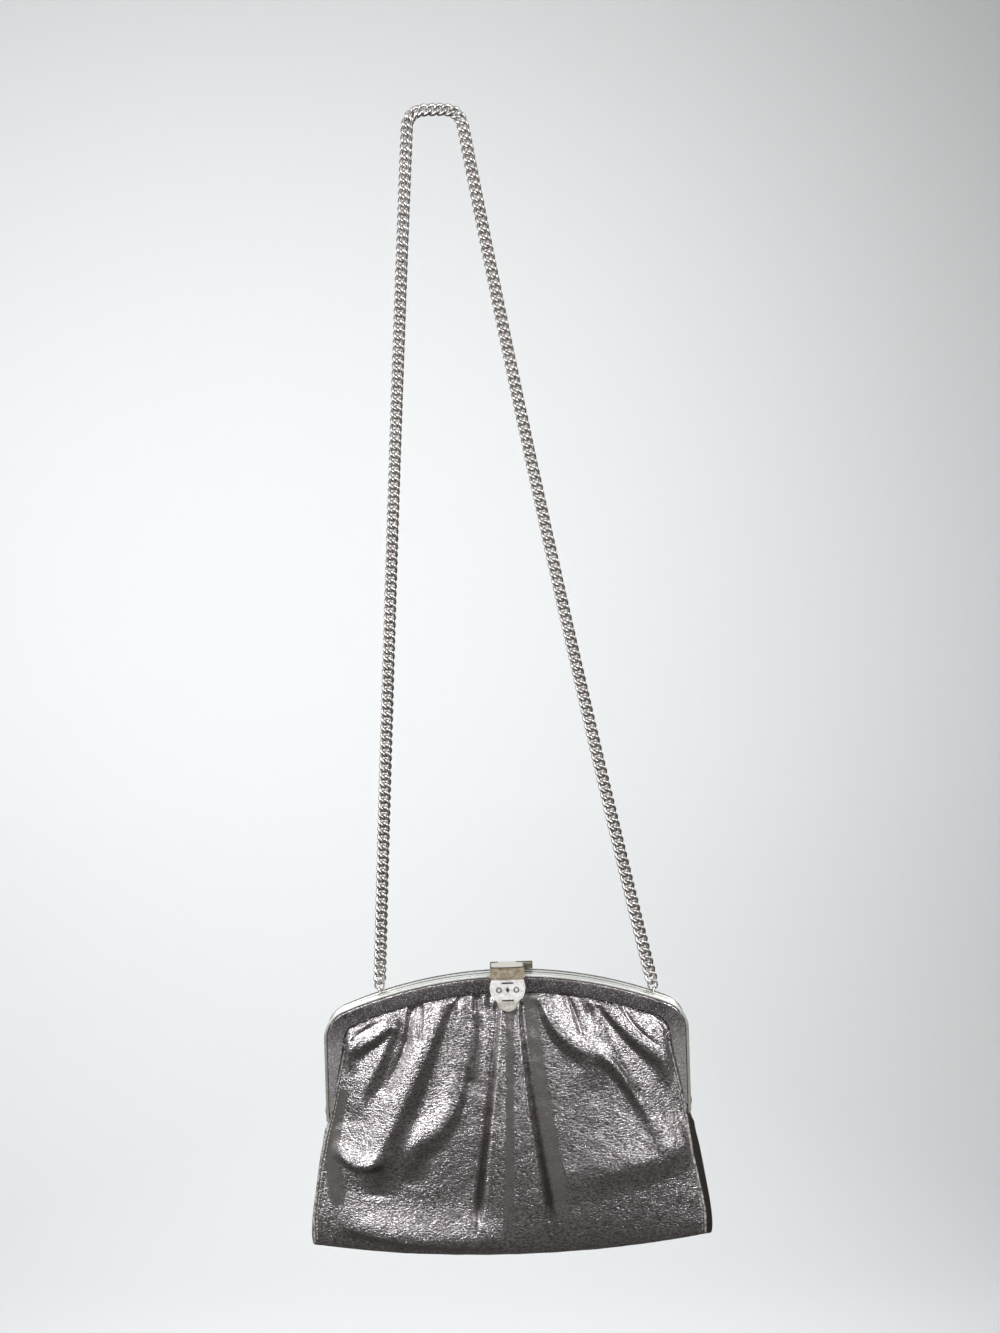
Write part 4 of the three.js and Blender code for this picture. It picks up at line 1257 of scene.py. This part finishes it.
def piping_look(tree):
    """Pale foiled cord with painted highlights and painted shade in cloudy patches along its length."""
    grain = noise_at(tree, (1400, 1400, 1400), 2, 0.6)
    return {
        # Painted highlights and painted shade: near-white and near-black patches.
        "Base Color": cloudy(tree, (0.95, 0.93, 0.9), (0.2, 0.18, 0.16)),
        "Metallic": 0.4,
        "Roughness": ramp(tree, grain, ((0.3, 0.32), (0.7, 0.5))),
        "Normal": bump(tree, grain, 0.3, 0.0002),
    }


def thread_look(tree):
    """Waxed grey thread, with a twist along its length."""
    strands = noise_at(tree, (2500, 2500, 900), 2, 0.6)
    return {
        "Base Color": ramp(tree, strands, ((0.3, (0.42, 0.40, 0.38)), (0.7, (0.62, 0.6, 0.58)))),
        "Roughness": 0.6,
        "Normal": bump(tree, strands, 0.4, 0.0002),
    }


def stage_look(_):
    return {"Base Color": (0.82, 0.84, 0.85, 1), "Roughness": 0.9}


leather = painted("pewter_leather", leather_look)
band = painted("frame_leather", band_look)
silver = painted("silver_plate", metal_look, (0.86, 0.86, 0.86), (0.68, 0.66, 0.62), 0.18, 0.34)
hinge_metal = painted("hinge_tarnish", metal_look, (0.3, 0.28, 0.22), (0.15, 0.14, 0.11), 0.4, 0.6)
tan_metal = painted("tarnished_metal", metal_look, (0.52, 0.46, 0.37), (0.33, 0.28, 0.21), 0.3, 0.5)
patina = painted("dark_patina", metal_look, (0.34, 0.32, 0.3), (0.18, 0.17, 0.16), 0.4, 0.6)
chain_silver = painted(
    "chain_silver", metal_look, (0.7, 0.685, 0.675), (0.46, 0.43, 0.41), 0.32, 0.48, (0.5, 0.46, 0.43, 1),
)
rail_metal = painted("rail_plate", rail_look)
clasp_metal = painted("clasp_metal", clasp_look)
piping = painted("piping_leather", piping_look)
thread = painted("seam_thread", thread_look)
stage_paint = painted("pale_stage", stage_look)


# Assembly

def leather_panel(name, node_name, side, grid, folds, bands, seed):
    """A panel that keeps how far its leather is stretched and smoothed by wear, with the painted shade that
    both carry, as attributes for the material.
    """
    part, looks = panel_part(side, grid, folds, bands, seed)
    piece = make_piece(name, part, [leather], "leather", node_name)
    for word, values in looks.items():
        attribute = piece.data.attributes.new(word, "FLOAT", "POINT")
        attribute.data.foreach_set("value", values.astype(np.float32))
    return piece


front_folds = FRONT_FOLDS + gathers(GATHER_SEED)
back_folds = BACK_FOLDS + gathers(GATHER_SEED + 1)
front_leather = leather_panel(
    "front_leather", "front_panel", -1, FRONT_GRID, front_folds, FRONT_BANDS, FRONT_SEED,
)
back_leather = leather_panel("back_leather", "back_panel", 1, BACK_GRID, back_folds, (), BACK_SEED)

rails = {"front": [rail_part(-1)], "back": [rail_part(1), eye_part(-1), eye_part(1)]}
for face, parts in rails.items():
    rail = join_parts(parts)
    make_piece(f"{face}_rail", rail, [rail_metal], "silver_metal", f"frame_{face}_rail", sharp=RAIL_SHARP)
for face, side in FACES:
    cover = cover_part(side)
    make_piece(f"{face}_band", cover, [band], "frame_leather", f"frame_{face}_cover", sharp=COVER_SHARP)

hinge = at_clasp(clasp_base_parts())
make_piece("clasp_hinge", hinge, [hinge_metal], "worn_metal", "clasp_base", sharp=CLASP_SHARP)
flap, marks = join_parts(flap_parts()), join_parts(ornament_parts())
flap_kinds = [0] * len(flap[1]) + [1] * len(marks[1])
make_piece(
    "clasp_shield", at_clasp([flap, marks]), [clasp_metal, patina], "silver_metal", "clasp_flap",
    body="clasp", face_materials=flap_kinds, sharp=CLASP_SHARP,
)
stud_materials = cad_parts["clasp_stud"].data.materials
stud_materials.clear()
stud_materials.append(tan_metal)

for word, hand in HANDS:
    for face, side in FACES:
        make_piece(f"{face}_piping_{word}", piping_part(side, hand), [piping], "leather")
        make_piece(f"{face}_stitches_{word}", stitches_part(side, hand), [thread], "leather")
    make_piece(f"side_gusset_{word}", gusset_part(hand), [leather], "leather", f"gusset_{word}")
    make_piece(f"frame_rivet_{word}", rivet_part(hand), [silver], "silver_metal", f"hinge_rivet_{word}")
    make_piece(f"end_ring_{word}", ring_part(hand), [chain_silver], "silver_metal", f"chain_ring_{word}")
make_piece("chain_links", chain_part(), [chain_silver], "silver_metal", "chain_left", "chain_right")


# Camera, stage and light

def add_camera():
    data = bpy.data.cameras.new("camera")
    data.sensor_width = SENSOR_WIDTH
    data.lens = SENSOR_WIDTH * FOCAL_PIXELS / PHOTO_PIXELS
    data.clip_start = NEAR_CLIP
    camera = add_object("camera", data)
    right = (math.cos(CAMERA_ROLL), 0, math.sin(CAMERA_ROLL))
    up = (-math.sin(CAMERA_ROLL), 0, math.cos(CAMERA_ROLL))
    turn = Matrix((right, up, (0, -1, 0))).transposed().to_4x4()
    camera.matrix_world = Matrix.Translation(CAMERA_PLACE) @ turn
    bpy.context.scene.camera = camera


def stage_piece(name, profile):
    """A pale strip of floor or wall, from its profile as (y, z)."""
    points = [(x, y, z) for y, z in profile for x in (-STAGE_HALF_WIDTH, STAGE_HALF_WIDTH)]
    faces = [(2 * i, 2 * i + 1, 2 * i + 3, 2 * i + 2) for i in range(len(profile) - 1)]
    made = add_object(name, make_mesh(name, points, faces, [stage_paint]))
    return made


def pale_stage():
    """A floor that sweeps up into a wall; the metal leather mirrors the wall but not the floor."""
    turn = np.linspace(-math.pi / 2, 0, SWEEP_POINTS)
    sweep = [(WALL_Y - SWEEP + SWEEP * math.cos(a), FLOOR_Z + SWEEP + SWEEP * math.sin(a)) for a in turn]
    floor = stage_piece("stage_floor", [(FLOOR_FRONT, FLOOR_Z)] + sweep)
    floor.visible_glossy = False
    stage_piece("stage_wall", [sweep[-1], (WALL_Y, WALL_TOP)])


def pale_world():
    """Dim room for reflections, with a pale backdrop behind what the stage doesn't cover."""
    world = bpy.data.worlds.new("world")
    bpy.context.scene.world = world
    world.use_nodes = True
    tree = world.node_tree
    seen = node(tree, "ShaderNodeLightPath").outputs["Is Camera Ray"]
    room = (0.08, 0.074, 0.07, 1)
    backdrop = (0.8, 0.82, 0.83, 1)
    feed(tree, tree.nodes["Background"], {"Color": mixed(tree, seen, room, backdrop)})


def softbox(name, place, target, size, power):
    data = bpy.data.lights.new(name, "AREA")
    data.shape = "RECTANGLE"
    data.size, data.size_y = size
    data.energy = power
    lamp = add_object(name, data)
    lamp.location = place
    lamp.rotation_euler = (Vector(target) - Vector(place)).to_track_quat("-Z", "Y").to_euler()
    lamp.visible_camera = False


add_camera()
pale_stage()
pale_world()
for row in SOFTBOXES:
    softbox(*row)
bpy.context.scene.view_settings.view_transform = "Standard"
